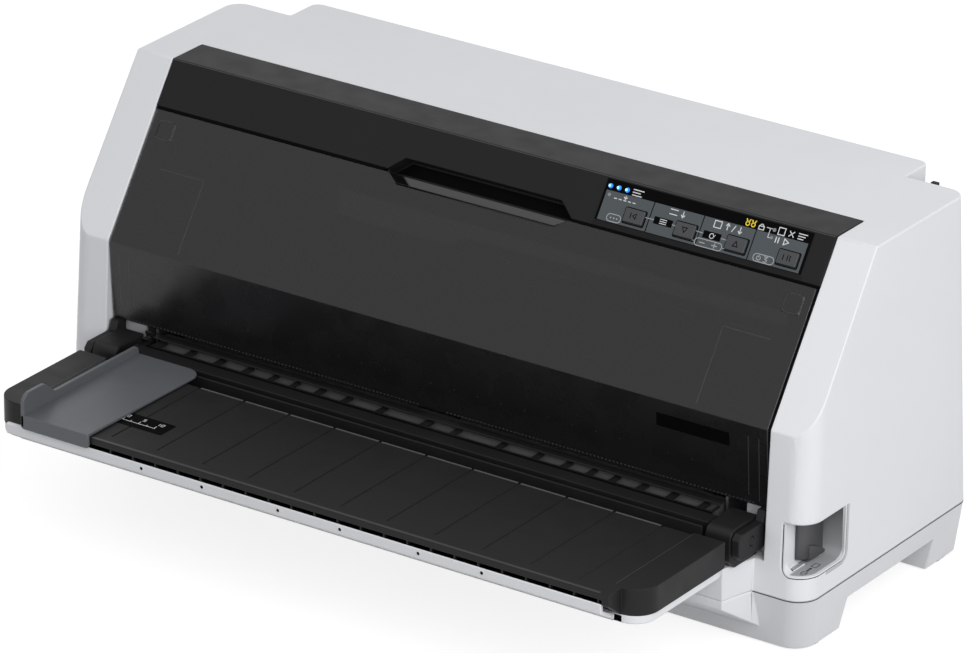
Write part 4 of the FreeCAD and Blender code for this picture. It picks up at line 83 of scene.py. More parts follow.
def add_camera():
    """The solved eye, drawn in a little and moved to the top of the sloped front."""
    back = Vector((math.sin(AZIMUTH) * math.cos(ELEVATION), -math.cos(AZIMUTH) * math.cos(ELEVATION),
                   math.sin(ELEVATION)))
    right = Vector((math.cos(AZIMUTH), math.sin(AZIMUTH), 0.0))
    up = back.cross(right)
    c, s = math.cos(ROLL), math.sin(ROLL)
    side = right * c + up * s
    top = up * c - right * s
    pixel = DISTANCE / PIXEL_FOCAL
    eye = back * DISTANCE - side * (PIXEL_SHIFT_X * pixel) - top * (PIXEL_SHIFT_Y * pixel)
    eye = (eye * FIT_SCALE + FIT_MOVE) * MM
    data = bpy.data.cameras.new("photo_camera")
    data.sensor_width = SENSOR
    data.sensor_fit = "HORIZONTAL"
    data.lens = PIXEL_FOCAL * SENSOR / PIXEL_WIDTH
    data.clip_end = SIGHT * MM
    camera = bpy.data.objects.new("photo_camera", data)
    scene.collection.objects.link(camera)
    turn = Matrix((side, top, back)).transposed().to_4x4()
    camera.matrix_world = Matrix.Translation(eye) @ turn
    scene.camera = camera


add_camera()

# Materials. Noise scales are per metre.

TINT_SCALE = 9.0
POLISH, POLISH_SCALE = 0.04, 70.0


def link(tree, a, b):
    tree.links.new(a, b)


class Look:
    """A node material that starts from a principled shader fed by object coordinates."""

    def __init__(self, name, color, rough, **sockets):
        self.material = bpy.data.materials.new(name)
        self.material.use_nodes = True
        self.tree = self.material.node_tree
        self.shader = self.tree.nodes["Principled BSDF"]
        self.color = (*color, 1.0)
        self.shader.inputs["Base Color"].default_value = self.color
        self.shader.inputs["Roughness"].default_value = rough
        self.rough = rough
        for key, value in sockets.items():
            self.shader.inputs[key.replace("_", " ")].default_value = value
        self.where = self.tree.nodes.new("ShaderNodeTexCoord").outputs["Object"]

    def noise(self, scale, detail, stretch):
        noise = self.tree.nodes.new("ShaderNodeTexNoise")
        noise.inputs["Scale"].default_value = scale
        noise.inputs["Detail"].default_value = detail
        source = self.where
        if stretch:
            mapping = self.tree.nodes.new("ShaderNodeMapping")
            mapping.inputs["Scale"].default_value = stretch
            link(self.tree, source, mapping.inputs["Vector"])
            source = mapping.outputs["Vector"]
        link(self.tree, source, noise.inputs["Vector"])
        return noise.outputs["Fac"]

    def between(self, fac, low, high, span=(0.35, 0.65)):
        node = self.tree.nodes.new("ShaderNodeMapRange")
        node.inputs["From Min"].default_value = span[0]
        node.inputs["From Max"].default_value = span[1]
        node.inputs["To Min"].default_value = low
        node.inputs["To Max"].default_value = high
        link(self.tree, fac, node.inputs["Value"])
        return node.outputs["Result"]

    def tint(self, amount, scale, stretch=None, detail=4.0):
        """Soft variation of the colour."""
        fac = self.noise(scale, detail, stretch)
        mix = self.tree.nodes.new("ShaderNodeMix")
        mix.data_type = "RGBA"
        mix.inputs["A"].default_value = tuple(c * (1 - amount) for c in self.color[:3]) + (1.0,)
        mix.inputs["B"].default_value = tuple(min(1.0, c * (1 + amount)) for c in self.color[:3]) + (1.0,)
        link(self.tree, self.between(fac, 0.0, 1.0), mix.inputs["Factor"])
        link(self.tree, mix.outputs["Result"], self.shader.inputs["Base Color"])
        return self

    def polish(self, amount, scale, stretch=None, detail=4.0):
        """Variation of the roughness."""
        fac = self.noise(scale, detail, stretch)
        link(self.tree, self.between(fac, self.rough - amount, self.rough + amount),
             self.shader.inputs["Roughness"])
        return self

    def grain(self, strength, scale, depth=0.00008, detail=2.0, stretch=None):
        """Fine relief of a moulded or brushed surface."""
        bump = self.tree.nodes.new("ShaderNodeBump")
        bump.inputs["Strength"].default_value = strength
        bump.inputs["Distance"].default_value = depth
        link(self.tree, self.noise(scale, detail, stretch), bump.inputs["Height"])
        link(self.tree, bump.outputs["Normal"], self.shader.inputs["Normal"])
        return self

    def glow(self, color, strength):
        """Light of its own."""
        self.shader.inputs["Emission Color"].default_value = (*color, 1.0)
        self.shader.inputs["Emission Strength"].default_value = strength
        return self


def plastic(name, color, rough, grain, scale, tint, **sockets):
    look = Look(name, color, rough, **sockets)
    look.tint(tint, TINT_SCALE).polish(POLISH, POLISH_SCALE).grain(grain, scale)
    return look.material


def metal(name, color, rough, stretch):
    look = Look(name, color, rough, Metallic=1.0)
    look.tint(0.06, scale=30.0, stretch=stretch)
    look.polish(0.08, scale=120.0, stretch=stretch)
    look.grain(0.08, scale=500.0, depth=0.00003, detail=3.0, stretch=stretch)
    return look.material


def blue_light():
    look = Look("light_blue", (0.01, 0.10, 0.55), 0.3)
    look.tint(0.2, scale=300.0).grain(0.05, scale=1600.0).glow((0.015, 0.24, 1.0), 0.85)
    return look.material


def lamp_core():
    color = (0.30, 0.72, 1.0)
    return Look("light_core", color, 0.3).tint(0.1, scale=400.0).glow(color, 1.0).material


# Painted shade in the lever's recess, darker the higher it is.
RECESS_FLOOR, RECESS_TOP = 48.0, 77.0
RECESS_SHADES = ((0.0, (0.34, 0.345, 0.355)), (0.4, (0.24, 0.243, 0.25)), (1.0, (0.085, 0.086, 0.09)))


def recess_look():
    """Casing plastic that lies deeper in shade the higher it is in the recess."""
    look = Look("recess_shade", (0.36, 0.365, 0.375), 0.5)
    split = look.tree.nodes.new("ShaderNodeSeparateXYZ")
    link(look.tree, look.where, split.inputs[0])
    ramp = look.tree.nodes.new("ShaderNodeValToRGB")
    shades = ramp.color_ramp.elements
    shades.new(RECESS_SHADES[1][0])
    for shade, (_, color) in zip(shades, RECESS_SHADES):
        shade.color = (*color, 1.0)
    height = look.between(split.outputs["Z"], 0.0, 1.0, (RECESS_FLOOR * MM, RECESS_TOP * MM))
    link(look.tree, height, ramp.inputs["Fac"])
    link(look.tree, ramp.outputs["Color"], look.shader.inputs["Base Color"])
    look.polish(POLISH, POLISH_SCALE).grain(0.08, scale=2200.0)
    return look.material


LOOKS = {
    "case_white": plastic("casing_white", (0.74, 0.75, 0.77), 0.42, grain=0.10, scale=2200.0, tint=0.012),
    "tray_black": plastic("tray_black", (0.0115, 0.0115, 0.012), 0.48, grain=0.16, scale=1500.0, tint=0.08,
                          Specular_IOR_Level=0.19),
    "panel_black": plastic("panel_black", (0.011, 0.011, 0.0115), 0.42, grain=0.05, scale=2400.0, tint=0.06,
                           Specular_IOR_Level=0.14),
    "smoked_cover": plastic("cover_smoked", (0.0085, 0.0085, 0.009), 0.27, grain=0.02, scale=2600.0,
                            tint=0.02, Alpha=0.94, Specular_IOR_Level=0.44),
    "guide_grey": plastic("guide_grey", (0.098, 0.104, 0.113), 0.38, grain=0.12, scale=1700.0, tint=0.04,
                          Specular_IOR_Level=0.35),
    "roller_grey": plastic("roller_rubber", (0.062, 0.062, 0.064), 0.72, grain=0.25, scale=1200.0, tint=0.10),
    "black_rubber": plastic("rubber_black", (0.018, 0.018, 0.018), 0.78, grain=0.3, scale=1100.0, tint=0.10),
    "steel": metal("steel_brushed", (0.58, 0.59, 0.60), 0.34, stretch=(1.0, 40.0, 40.0)),
    "gear_plastic": plastic("gear_acetal", (0.70, 0.68, 0.61), 0.36, grain=0.06, scale=2000.0, tint=0.03),
    "circuit_green": plastic("board_green", (0.015, 0.11, 0.045), 0.35, grain=0.08, scale=900.0, tint=0.08),
    "motor_metal": plastic("motor_paint", (0.09, 0.09, 0.095), 0.40, grain=0.10, scale=1500.0, tint=0.06),
    "head_aluminium": metal("head_aluminium", (0.46, 0.46, 0.47), 0.40, stretch=(1.0, 1.0, 8.0)),
    "ribbon_cloth": plastic("ribbon_cloth", (0.008, 0.008, 0.009), 0.85, grain=0.5, scale=2600.0, tint=0.12),
    "blue_light": blue_light(),
}

INK = {
    "white": plastic("ink_white", (0.62, 0.63, 0.64), 0.5, grain=0.03, scale=3000.0, tint=0.03),
    "pale": plastic("ink_pale", (0.36, 0.37, 0.38), 0.5, grain=0.03, scale=3000.0, tint=0.04),
    "yellow": plastic("ink_yellow", (0.78, 0.58, 0.02), 0.5, grain=0.03, scale=3000.0, tint=0.04),
    "black": plastic("ink_black", (0.0025, 0.0025, 0.0025), 0.45, grain=0.03, scale=3000.0, tint=0.05,
                     Specular_IOR_Level=0.02),
    "cell": plastic("label_grey", (0.066, 0.076, 0.083), 0.55, grain=0.05, scale=2600.0, tint=0.03,
                    Specular_IOR_Level=0.3),
    # Grey of the keys, used as well for the painted highlight on the cover's toothed lower edge.
    "button": plastic("key_grey_and_edge_highlight", (0.038, 0.040, 0.043), 0.5, grain=0.08, scale=2200.0, tint=0.05),
    "grey": plastic("ink_grey", (0.20, 0.205, 0.21), 0.5, grain=0.04, scale=3000.0, tint=0.04),
    # Dark grey for lines seen through the cover, and the painted highlight along the tray's rails.
    "dark": plastic("dark_lines_and_rail_highlight", (0.028, 0.029, 0.031), 0.45, grain=0.05, scale=2600.0, tint=0.05),
    "core": lamp_core(),
    # Painted highlight for the tray's rear edge.
    "lip": plastic("painted_lip_highlight", (0.085, 0.085, 0.087), 0.45, grain=0.05, scale=2600.0, tint=0.04),
    "notch": plastic("notch_face", (0.042, 0.042, 0.043), 0.4, grain=0.05, scale=2600.0, tint=0.05),
    # Painted highlight for the panel's front crease and the tray's front lip.
    "edge": plastic("painted_edge_highlight", (0.034, 0.034, 0.035), 0.42, grain=0.05, scale=2600.0, tint=0.04),
    # Painted shade beside the lever recess's rim.
    "rim_shade": plastic("painted_rim_shade", (0.46, 0.465, 0.475), 0.5, grain=0.05, scale=2600.0, tint=0.03),
    "seam": plastic("seam_dark", (0.07, 0.07, 0.073), 0.6, grain=0.05, scale=2600.0, tint=0.05),
    "lever": plastic("lever_grey", (0.05, 0.051, 0.053), 0.42, grain=0.08, scale=2200.0, tint=0.05),
    "recess": recess_look(),
}

# Shapes. Angles are in degrees.

EDGE_ANGLE = 28.0
TRIM_ANGLE = 40.0
SMOOTH_ANGLE = 50.0
NODE_ANGLE = 32.0
FLAT_ANGLE = 0.6
WELD = 1e-6


def new_piece(name, mesh, body, slot, material=None):
    piece = bpy.data.objects.new(name, mesh)
    scene.collection.objects.link(piece)
    mesh.materials.clear()
    mesh.materials.append(material or LOOKS[slot])
    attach(piece, body)
    return piece


def finish_edges(mesh, width, segments=2, angle=TRIM_ANGLE):
    """Rounded edges with flat faces kept flat, applied to the mesh."""
    holder = bpy.data.objects.new("shaping", mesh)
    scene.collection.objects.link(holder)
    if width:
        bevel = holder.modifiers.new("bevel", "BEVEL")
        bevel.width = width * MM
        bevel.segments = segments
        bevel.limit_method = "ANGLE"
        bevel.angle_limit = math.radians(angle)
        bevel.use_clamp_overlap = False
        bevel.miter_outer = "MITER_ARC"
        bevel.harden_normals = False
    weighted = holder.modifiers.new("normals", "WEIGHTED_NORMAL")
    weighted.keep_sharp = True
    mesh.shade_smooth()
    mesh.set_sharp_from_angle(angle=math.radians(SMOOTH_ANGLE))
    bpy.context.view_layer.update()
    result = bpy.data.meshes.new_from_object(
        holder.evaluated_get(bpy.context.evaluated_depsgraph_get()))
    bpy.data.objects.remove(holder)
    return result


def refine(node, width, ink=None):
    """A finer twin of a CAD node: its flat faces joined up and its edges rounded."""
    mesh = nodes[node].data.copy()
    bm = bmesh.new()
    bm.from_mesh(mesh)
    bmesh.ops.remove_doubles(bm, verts=bm.verts, dist=WELD)
    bmesh.ops.dissolve_limit(bm, angle_limit=math.radians(FLAT_ANGLE), use_dissolve_boundaries=False,
                             verts=bm.verts, edges=bm.edges)
    bm.to_mesh(mesh)
    bm.free()
    mesh = finish_edges(mesh, width, angle=EDGE_ANGLE)
    piece = new_piece(node + "_fine", mesh, node_body[node], node_slot[node], INK.get(ink))
    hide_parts(node)


def dress_nodes():
    for name, node in nodes.items():
        node.data.materials.clear()
        node.data.materials.append(LOOKS[node_slot[name]])
        node.data.shade_smooth()
        node.data.set_sharp_from_angle(angle=math.radians(NODE_ANGLE))


dress_nodes()

EDGE_WIDTHS = {
    "upper_case": 0.8, "lower_case": 0.7, "top_panel": 0.4, "front_cover": 0.5, "tray_under": 0.6,
    "tray_top": 0.35, "cover_hinge_arms": 0.8, "cover_knuckles": 0.6, "front_guide": 0.3,
    "release_lever": 0.5, "rear_hooks": 0.4, "tear_off_button": 0.5, "line_feed_button": 0.5,
    "load_button": 0.5, "pause_button": 0.5, "ribbon_cartridge": 0.7, "power_inlet": 0.4,
    "port_block": 0.4,
}
KEYS = ("tear_off_button", "line_feed_button", "load_button", "pause_button")
OWN_INK = {"release_lever": "lever", **{key: "button" for key in KEYS}}

for name, width in EDGE_WIDTHS.items():
    refine(name, width, OWN_INK.get(name))

# Places to lay thin marks and trim. Each takes two coordinates on the surface and one out of it.


def on_slope(x, down, out):
    """A point given along, down and out of the casing's sloped front."""
    return Vector((x, SLOPE_TOP - SLOPE_RUN * down - SLOPE_DROP * out,
                   CASE_HEIGHT - SLOPE_DROP * down + SLOPE_RUN * out)) * MM


def on_top(height):
    return lambda x, y, out: Vector((x, y, height + out)) * MM


def on_front(depth):
    return lambda x, z, out: Vector((x, depth - out, z)) * MM


FAR = 600.0
SLOPE_FAR = 60.0
RAYS = {
    "front": (lambda x, z: Vector((x, -FAR, z)) * MM, Vector((0.0, 1.0, 0.0))),
    "top": (lambda x, y: Vector((x, y, FAR)) * MM, Vector((0.0, 0.0, -1.0))),
    "slope": (lambda x, down: on_slope(x, down, SLOPE_FAR), Vector((0.0, SLOPE_DROP, -SLOPE_RUN))),
}


def on_skin(node, side):
    """A place on a node's own surface. A ray that passes an edge keeps the reach of the one before."""
    mesh = nodes[node].data
    tree = BVHTree.FromPolygons([v.co for v in mesh.vertices], [tuple(f.vertices) for f in mesh.polygons])
    origin, way = RAYS[side]
    reach = 0.0

    def place(u, v, out):
        nonlocal reach
        start = origin(u, v)
        point, _, _, distance = tree.ray_cast(start, way)
        if point is not None:
            reach = distance
        return start + way * (reach - out * MM)
    return place


# Outlines and lines.

SUNK = -0.05
FILM = 0.05


def prism(bm, loop, place, low, high):
    """A closed solid over an outline, from low to high over its surface."""
    base = [bm.verts.new(place(u, v, low)) for u, v in loop]
    top = [bm.verts.new(place(u, v, high)) for u, v in loop]
    bm.faces.new(top)
    bm.faces.new(base[::-1])
    for k in range(len(loop)):
        n = (k + 1) % len(loop)
        bm.faces.new((base[k], base[n], top[n], top[k]))


def as_mesh(bm, name):
    mesh = bpy.data.meshes.new(name)
    bm.to_mesh(mesh)
    bm.free()
    return mesh


def finished(bm, name, width, segments=2):
    bmesh.ops.recalc_face_normals(bm, faces=bm.faces)
    mesh = finish_edges(as_mesh(bm, name), width, segments)
    mesh.name = name
    return mesh


def raised(name, loops, place, node, ink=None, low=0.0, high=FILM, edge=0.0):
    """Thin closed shapes over a surface, in the body and slot of the node that carries them."""
    bm = bmesh.new()
    for loop in loops:
        prism(bm, loop, place, low, high)
    new_piece(name, finished(bm, name, edge), node_body[node], node_slot[node], INK.get(ink))


def sheet(name, rows, node, ink):
    """An open sheet through rows of points."""
    bm = bmesh.new()
    rows = [[bm.verts.new(Vector(point) * MM) for point in row] for row in rows]
    for a, b in zip(rows, rows[1:]):
        for k in range(len(a) - 1):
            bm.faces.new((a[k], a[k + 1], b[k + 1], b[k]))
    mesh = as_mesh(bm, name)
    mesh.shade_smooth()
    new_piece(name, mesh, node_body[node], node_slot[node], INK[ink])


def rect(left, right, low, high):
    return [(left, low), (right, low), (right, high), (left, high)]


def arc(u, v, radius, start, end, count):
    return [(u + radius * math.cos(math.radians(start + (end - start) * k / count)),
             v + radius * math.sin(math.radians(start + (end - start) * k / count)))
            for k in range(count + 1)]


def disc(u, v, radius, count=18):
    return arc(u, v, radius, 0, 360, count)[:-1]


def rounded(left, right, low, high, radius, steps=5):
    return (arc(right - radius, high - radius, radius, 0, 90, steps)
            + arc(left + radius, high - radius, radius, 90, 180, steps)
            + arc(left + radius, low + radius, radius, 180, 270, steps)
            + arc(right - radius, low + radius, radius, 270, 360, steps))


def filleted(points, radii, steps=5):
    """A closed outline with each corner rounded by its own radius."""
    result = []
    for k, radius in enumerate(radii):
        here = Vector(points[k])
        if not radius:
            result.append(tuple(here))
            continue
        a = (Vector(points[k - 1]) - here).normalized()
        b = (Vector(points[(k + 1) % len(points)]) - here).normalized()
        half = a.angle(b) / 2
        reach = radius / math.tan(half)
        middle = here + (a + b).normalized() * (radius / math.sin(half))
        first, last = here + a * reach - middle, here + b * reach - middle
        for step in range(steps + 1):
            mixed = first.lerp(last, step / steps).normalized() * radius
            result.append(tuple(middle + mixed))
    return result


MITRE_SHARE = 0.35


def stroke(points, width, closed=False):
    """Quads along a line, mitred at its corners."""
    count = len(points)
    sides = []
    for k in range(count):
        before = points[(k - 1) % count] if closed or k else None
        after = points[(k + 1) % count] if closed or k < count - 1 else None
        here = Vector(points[k])
        ins = (here - Vector(before)).normalized() if before else None
        outs = (Vector(after) - here).normalized() if after else None
        along = (ins + outs).normalized() if ins and outs else (ins or outs)
        normal = Vector((-along.y, along.x))
        edge = Vector((-(outs or ins).y, (outs or ins).x))
        half = width / 2 / max(MITRE_SHARE, normal.dot(edge))
        sides.append((here + normal * half, here - normal * half))
    loops = []
    for k in range(count if closed else count - 1):
        a, b = sides[k], sides[(k + 1) % count]
        loops.append([tuple(a[0]), tuple(b[0]), tuple(b[1]), tuple(a[1])])
    return loops


def outlined(points, width):
    return stroke(points, width, True)


def across(left, right, row, width):
    return stroke([(left, row), (right, row)], width)


def upright(x, start, end, width):
    return stroke([(x, start), (x, end)], width)


def bars(left, top, pitch, reaches, width):
    """Lines that stand for rows of words."""
    return [q for k, reach in enumerate(reaches) for q in across(left, left + reach, top + k * pitch, width)]


def chevron(u, v, wide, tall, width):
    return stroke([(u - wide, v - tall), (u, v + tall), (u + wide, v - tall)], width)


# The key label. Its coordinates run along the printer and down the slope.

FINE, THIN, PLAIN, BOLD = 0.35, 0.42, 0.5, 0.6
LABEL_LEFT, LABEL_RIGHT = 72.7, 199.9
LABEL_TOP, BAND_END, CELL_END, LABEL_END = 1.5, 7.7, 23.8, 24.2
CELL_SPLITS = (73.9, 104.2, 135.2, 167.0, 198.8)
CELL_OVERLAP = 0.1
CELL_INSET = 0.3
SPLIT_HALF = 0.35
FIRST_KEY, KEY_PITCH = 95.4, 31.53
KEY_X = {key: FIRST_KEY + KEY_PITCH * k for k, key in enumerate(KEYS)}
KEY_ROOM, KEY_TOP, KEY_END = 6.5, 13.6, 22.0
SIGN_TOP, SIGN_END = 16.2, 19.2
LAMP_X, LAMP_PITCH, LAMP_ROW = 75.15, 5.2, 5.2
TAG_ROW = 16.9
ARROW_WIDE, ARROW_TALL, ARROW_SET = 1.2, 0.7, 0.4
ON_LABEL = {
    "label_ground": (0.30, 0.42, "black"), "label_cells": (0.36, 0.46, "cell"),
    "label_marks": (0.40, 0.51, "white"), "label_tags": (0.42, 0.49, "pale"),
    "label_black_tags": (0.40, 0.475, "black"), "label_yellow_marks": (0.40, 0.50, "yellow"),
    "label_dots": (0.40, 0.62, "grey"), "lamp_cores": (0.45, 0.74, "core"),
    "key_gaps_and_shadow": (0.40, 0.485, "black"),
}


def label_ground():
    """The black edge and the lines between the cells."""
    left, right = CELL_SPLITS[0] + CELL_INSET, CELL_SPLITS[-1] - CELL_INSET
    ground = [rect(LABEL_LEFT, LABEL_RIGHT, LABEL_TOP, BAND_END),
              rect(LABEL_LEFT, LABEL_RIGHT, CELL_END, LABEL_END)]
    ground += [rect(x - SPLIT_HALF, x + SPLIT_HALF, BAND_END, CELL_END) for x in CELL_SPLITS[1:-1]]
    return ground + [rect(LABEL_LEFT, left, BAND_END, CELL_END), rect(right, LABEL_RIGHT, BAND_END, CELL_END)]


def label_cells():
    """Grey fields that leave room round each key."""
    top, end = BAND_END - CELL_OVERLAP, CELL_END + CELL_OVERLAP
    cells = []
    for left, right, x in zip(CELL_SPLITS, CELL_SPLITS[1:], KEY_X.values()):
        low, high = x - KEY_ROOM, x + KEY_ROOM
        cells += [rect(left + CELL_INSET, low, top, end), rect(high, right - CELL_INSET, top, end),
                  rect(low, high, top, KEY_TOP), rect(low, high, KEY_END, end)]
    return cells


def arrow(x, tail, tip, wide=ARROW_WIDE, tall=ARROW_TALL):
    way = math.copysign(1.0, tip - tail)
    return upright(x, tail, tip, PLAIN) + chevron(x, tip - way * ARROW_SET, wide, way * tall, PLAIN)


def tear_off_art():
    """Word rows beside the lamps, and a dashed line with an arrow to it."""
    left, row, dash, pitch = 80.0, 11.0, 1.8, 2.9
    art = bars(89.6, 3.9, 1.5, (6.6, 4.8, 6.0), width=0.55)
    for k in range(5):
        art += across(left + k * pitch, left + k * pitch + dash, row, PLAIN)
    return art + arrow(86.7, tail=8.3, tip=10.0, wide=1.1, tall=0.55)


def line_feed_art():
    """Two lines with an arrow down, and a list on the black tag."""
    return (bars(114.6, 8.7, 2.6, (4.8, 4.8), PLAIN) + arrow(122.8, tail=8.3, tip=11.4)
            + bars(110.6, 15.4, 1.1, (4.2, 4.2, 4.2), THIN))


def load_art():
    """A page with arrows in and out, and a turning arrow on the black tag."""
    return (outlined(rect(142.2, 146.4, 8.4, 12.0), PLAIN) + arrow(150.3, tail=12.0, tip=8.6)
            + stroke([(153.2, 12.2), (154.8, 8.4)], PLAIN) + arrow(158.0, tail=8.4, tip=11.8)
            + stroke(arc(143.0, TAG_ROW, 1.3, 20, 310, 14), THIN) + chevron(144.3, 16.5, 0.7, 0.5, 0.4))


def pause_art():
    """A lock with its lines to the lamps, a missing page, word rows, and pause and start signs."""
    fork, lamp_row, pause_row = 174.6, 5.0, 9.9
    lock = outlined(rect(167.8, 170.8, 5.1, 6.9), PLAIN) + stroke(arc(169.3, lamp_row, 1.0, 180, 360, 8), 0.4)
    lines = across(172.3, 175.9, lamp_row, FINE)
    lines += stroke([(fork, lamp_row), (fork, pause_row), (175.9, pause_row)], FINE)
    page = outlined(rect(179.6, 183.4, 3.2, 7.0), PLAIN)
    cross = stroke([(186.0, 3.6), (189.0, 6.6)], PLAIN) + stroke([(189.0, 3.6), (186.0, 6.6)], PLAIN)
    words = bars(191.4, 3.7, 1.4, (5.4, 4.5, 3.6), PLAIN)
    pause = upright(179.6, 8.4, 11.6, BOLD) + upright(181.2, 8.4, 11.6, BOLD)
    start = outlined([(184.6, 8.4), (187.4, 10.0), (184.6, 11.6)], PLAIN)
    return lock + lines + page + cross + words + pause + start


def tag_art():
    """Rounded tags with dots, minus and plus, a switch sign and a three, and lines to the keys."""
    row = 21.6
    art = [q for left, right, top, end, radius in (
        (79.5, 88.0, 19.4, 23.4, 1.9), (134.2, 150.8, 19.6, 23.6, 1.9), (170.2, 182.6, 19.4, 23.5, 1.95))
        for q in outlined(rounded(left, right, top, end, radius), THIN)]
    for start, end in (((101.6, 16.6), (107.0, 16.6)), ((118.4, 16.6), (120.6, 16.8)),
                       ((133.0, 16.4), (137.6, 16.6)), ((148.6, 16.9), (152.2, 17.0)),
                       ((131.4, 21.4), (134.2, row)), ((150.8, row), (152.6, row))):
        art += stroke([start, end], FINE)
    dot_x, dot_pitch, dot_radius = 81.9, 1.9, 0.45
    art += [disc(dot_x + k * dot_pitch, 21.4, dot_radius, 10) for k in range(3)]
    art += across(137.0, 140.4, row, PLAIN)
    art += across(144.6, 148.0, row, PLAIN) + upright(146.3, 20.1, 23.1, PLAIN)
    art += stroke(arc(173.4, 21.5, 1.15, -60, 240, 14), THIN) + upright(173.4, 19.9, 21.3, THIN)
    three = [(176.4, 20.1), (178.6, 20.1), (177.2, 21.3), (178.6, 21.8), (178.2, 22.8), (176.4, 22.8)]
    return art + stroke(three, 0.4)


def yellow_art():
    """Two rings, each with a pair of grips."""
    row = 5.6
    art = []
    for x in (160.8, 164.2):
        art += outlined(disc(x, row, 1.05, 14), BOLD)
        for side in (-1, 1):
            grip = [(0.8, -0.7), (1.5, -2.5), (0.8, -2.5), (0.2, -1.0)]
            art.append([(x + side * u, row + v) for u, v in grip[::-side]])
    return art


def key_gaps_with_shadow():
    """The dark gap round each key, with painted shadow that widens it on the right and lower side."""
    left, right, top, end, radius = 6.35, 6.75, 13.75, 22.35, 0.8
    return [q for x in KEY_X.values()
            for q in outlined(rounded(x - left, x + right, top, end, radius, 3), BOLD)]


def key_art():
    """The sign on each key, given from its middle along and from the slope's top down."""
    half, top, end, width = 1.5, SIGN_TOP + 0.2, SIGN_END, 0.45
    back = [(1.3, 16.3), (-0.6, 17.7), (1.3, 19.1)]
    return {
        "tear_off_button": upright(-1.9, SIGN_TOP, SIGN_END, PLAIN) + outlined(back, THIN),
        "line_feed_button": outlined([(-half, top), (0.0, end), (half, top)], width),
        "load_button": outlined([(-half, end), (0.0, top), (half, end)], width),
        "pause_button": [q for x in (-2.4, 0.2, 1.7) for q in upright(x, SIGN_TOP, 19.3, PLAIN)],
    }


def key_label():
    """Grey cells, lamps, tags and plain pictograms in place of words."""
    art = {
        "label_ground": label_ground(),
        "label_cells": label_cells(),
        "label_marks": tear_off_art() + line_feed_art() + load_art() + pause_art(),
        "label_tags": tag_art(),
        "label_black_tags": [rect(107.0, 118.4, 14.5, 18.5), rect(137.6, 148.5, 14.8, 18.8)],
        "label_yellow_marks": yellow_art(),
        "label_dots": [disc(76.6, 9.9, 1.0), disc(177.1, 5.3, 1.0), disc(176.9, 9.6, 0.9)],
        "lamp_cores": [disc(LAMP_X + k * LAMP_PITCH, LAMP_ROW, 0.75, 16) for k in range(3)],
        "key_gaps_and_shadow": key_gaps_with_shadow(),
    }
    for name, loops in art.items():
        low, high, ink = ON_LABEL[name]
        raised(name, loops, on_slope, "control_label", ink, low, high)
    for key, loops in key_art().items():
        moved = [[(KEY_X[key] + u, v) for u, v in loop] for loop in loops]
        raised(key + "_mark", moved, on_slope, key, "black", low=1.44, high=1.55)


key_label()

# Trim of the panel and the cover, with coordinates along and down the slope, or up on its front.

PANEL_HALF = 212.0


def mirrored(half):
    """An outline that is the same on the left, from its right half."""
    return [(-x, v) for x, v in half[::-1]] + half


def panel_trim():
    """Fine ribs under the keys, the finger recess's face in painted shade, a painted highlight along the
    front crease, and painted shade in the gap to the cover.
    """
    first, pitch, wide = 24.75, 0.9, 0.45
    ribs = [rect(71.5, 201.0, d, d + wide) for d in [first + pitch * k for k in range(3)]]
    raised("panel_ridges", ribs, on_slope, "top_panel", low=SUNK, high=0.30, edge=0.12)
    # The finger recess's face is painted a duller black than the panel: painted shade in the recess.
    recess = mirrored([(49.0, 20.4), (50.2, 20.6), (57.6, 27.2)])
    raised("finger_recess_floor", [recess], on_skin("top_panel", "slope"), "top_panel", "black", high=0.08)
    # A lighter strip along the front crease: painted highlight.
    crease = rect(-PANEL_HALF, PANEL_HALF, 0.25, 0.7)
    raised("panel_crease", [crease], on_slope, "top_panel", "edge", low=SUNK, high=0.06)
    gap = 60.2
    # A black strip sunk under the gap between panel and cover, stopped at the finger recess: painted shade in
    # the gap.
    gap_shade = [rect(a, b, 27.25, 28.9) for a, b in ((-PANEL_HALF, -gap), (gap, PANEL_HALF))]
    raised("panel_gap_shade", gap_shade, on_slope, "top_panel", "black", low=-0.9, high=0.02)


panel_trim()


def cover_lines(slope, front):
    """Pads and frame lines seen through the smoked cover."""
    pads, lines, ends = [], [], []
    frame_x, frame_top = 166.7, 60.5
    for side in (-1, 1):
        left, right = sorted((side * 196.5, side * 206.5))
        pads += outlined(rounded(left, right, 34.6, 44.8, 2.0, 3), FINE)
        lines += upright(side * frame_x, frame_top, 103.0, PLAIN)
        lines += across(side * frame_x, side * 196.0, frame_top, 0.4)
        ends += upright(side * 199.5, 118.0, 84.0, PLAIN) + upright(side * 206.0, 118.0, 82.0, PLAIN)
    raised("cover_pads", pads, slope, "front_cover", "dark", high=0.12)
    raised("cover_frame_lines", lines, slope, "front_cover", "dark")
    raised("cover_end_lines", ends, front, "front_cover", "dark")


def cover_notch(slope):
    """The faces of the notch under the finger recess: a lighter face as painted highlight, and black ends and
    lower edge as painted shade.
    """
    top, end = 29.4, 33.3
    face = [(-47.2, top), (56.2, top), (49.6, end), (-42.0, end)]
    raised("cover_notch_face", [face], slope, "front_cover", "notch", high=0.06)
    ends = [[(-58.2, 29.3), (-48.4, 29.3), (-43.2, end), (-51.0, end)]] + across(-51.0, 51.6, 33.7, 0.4)
    ends.append([(52.0, 32.2), (57.0, 29.6), (57.4, 29.6), (52.0, end), (50.6, end)])
    raised("cover_notch_ends", ends, slope, "front_cover", "black")


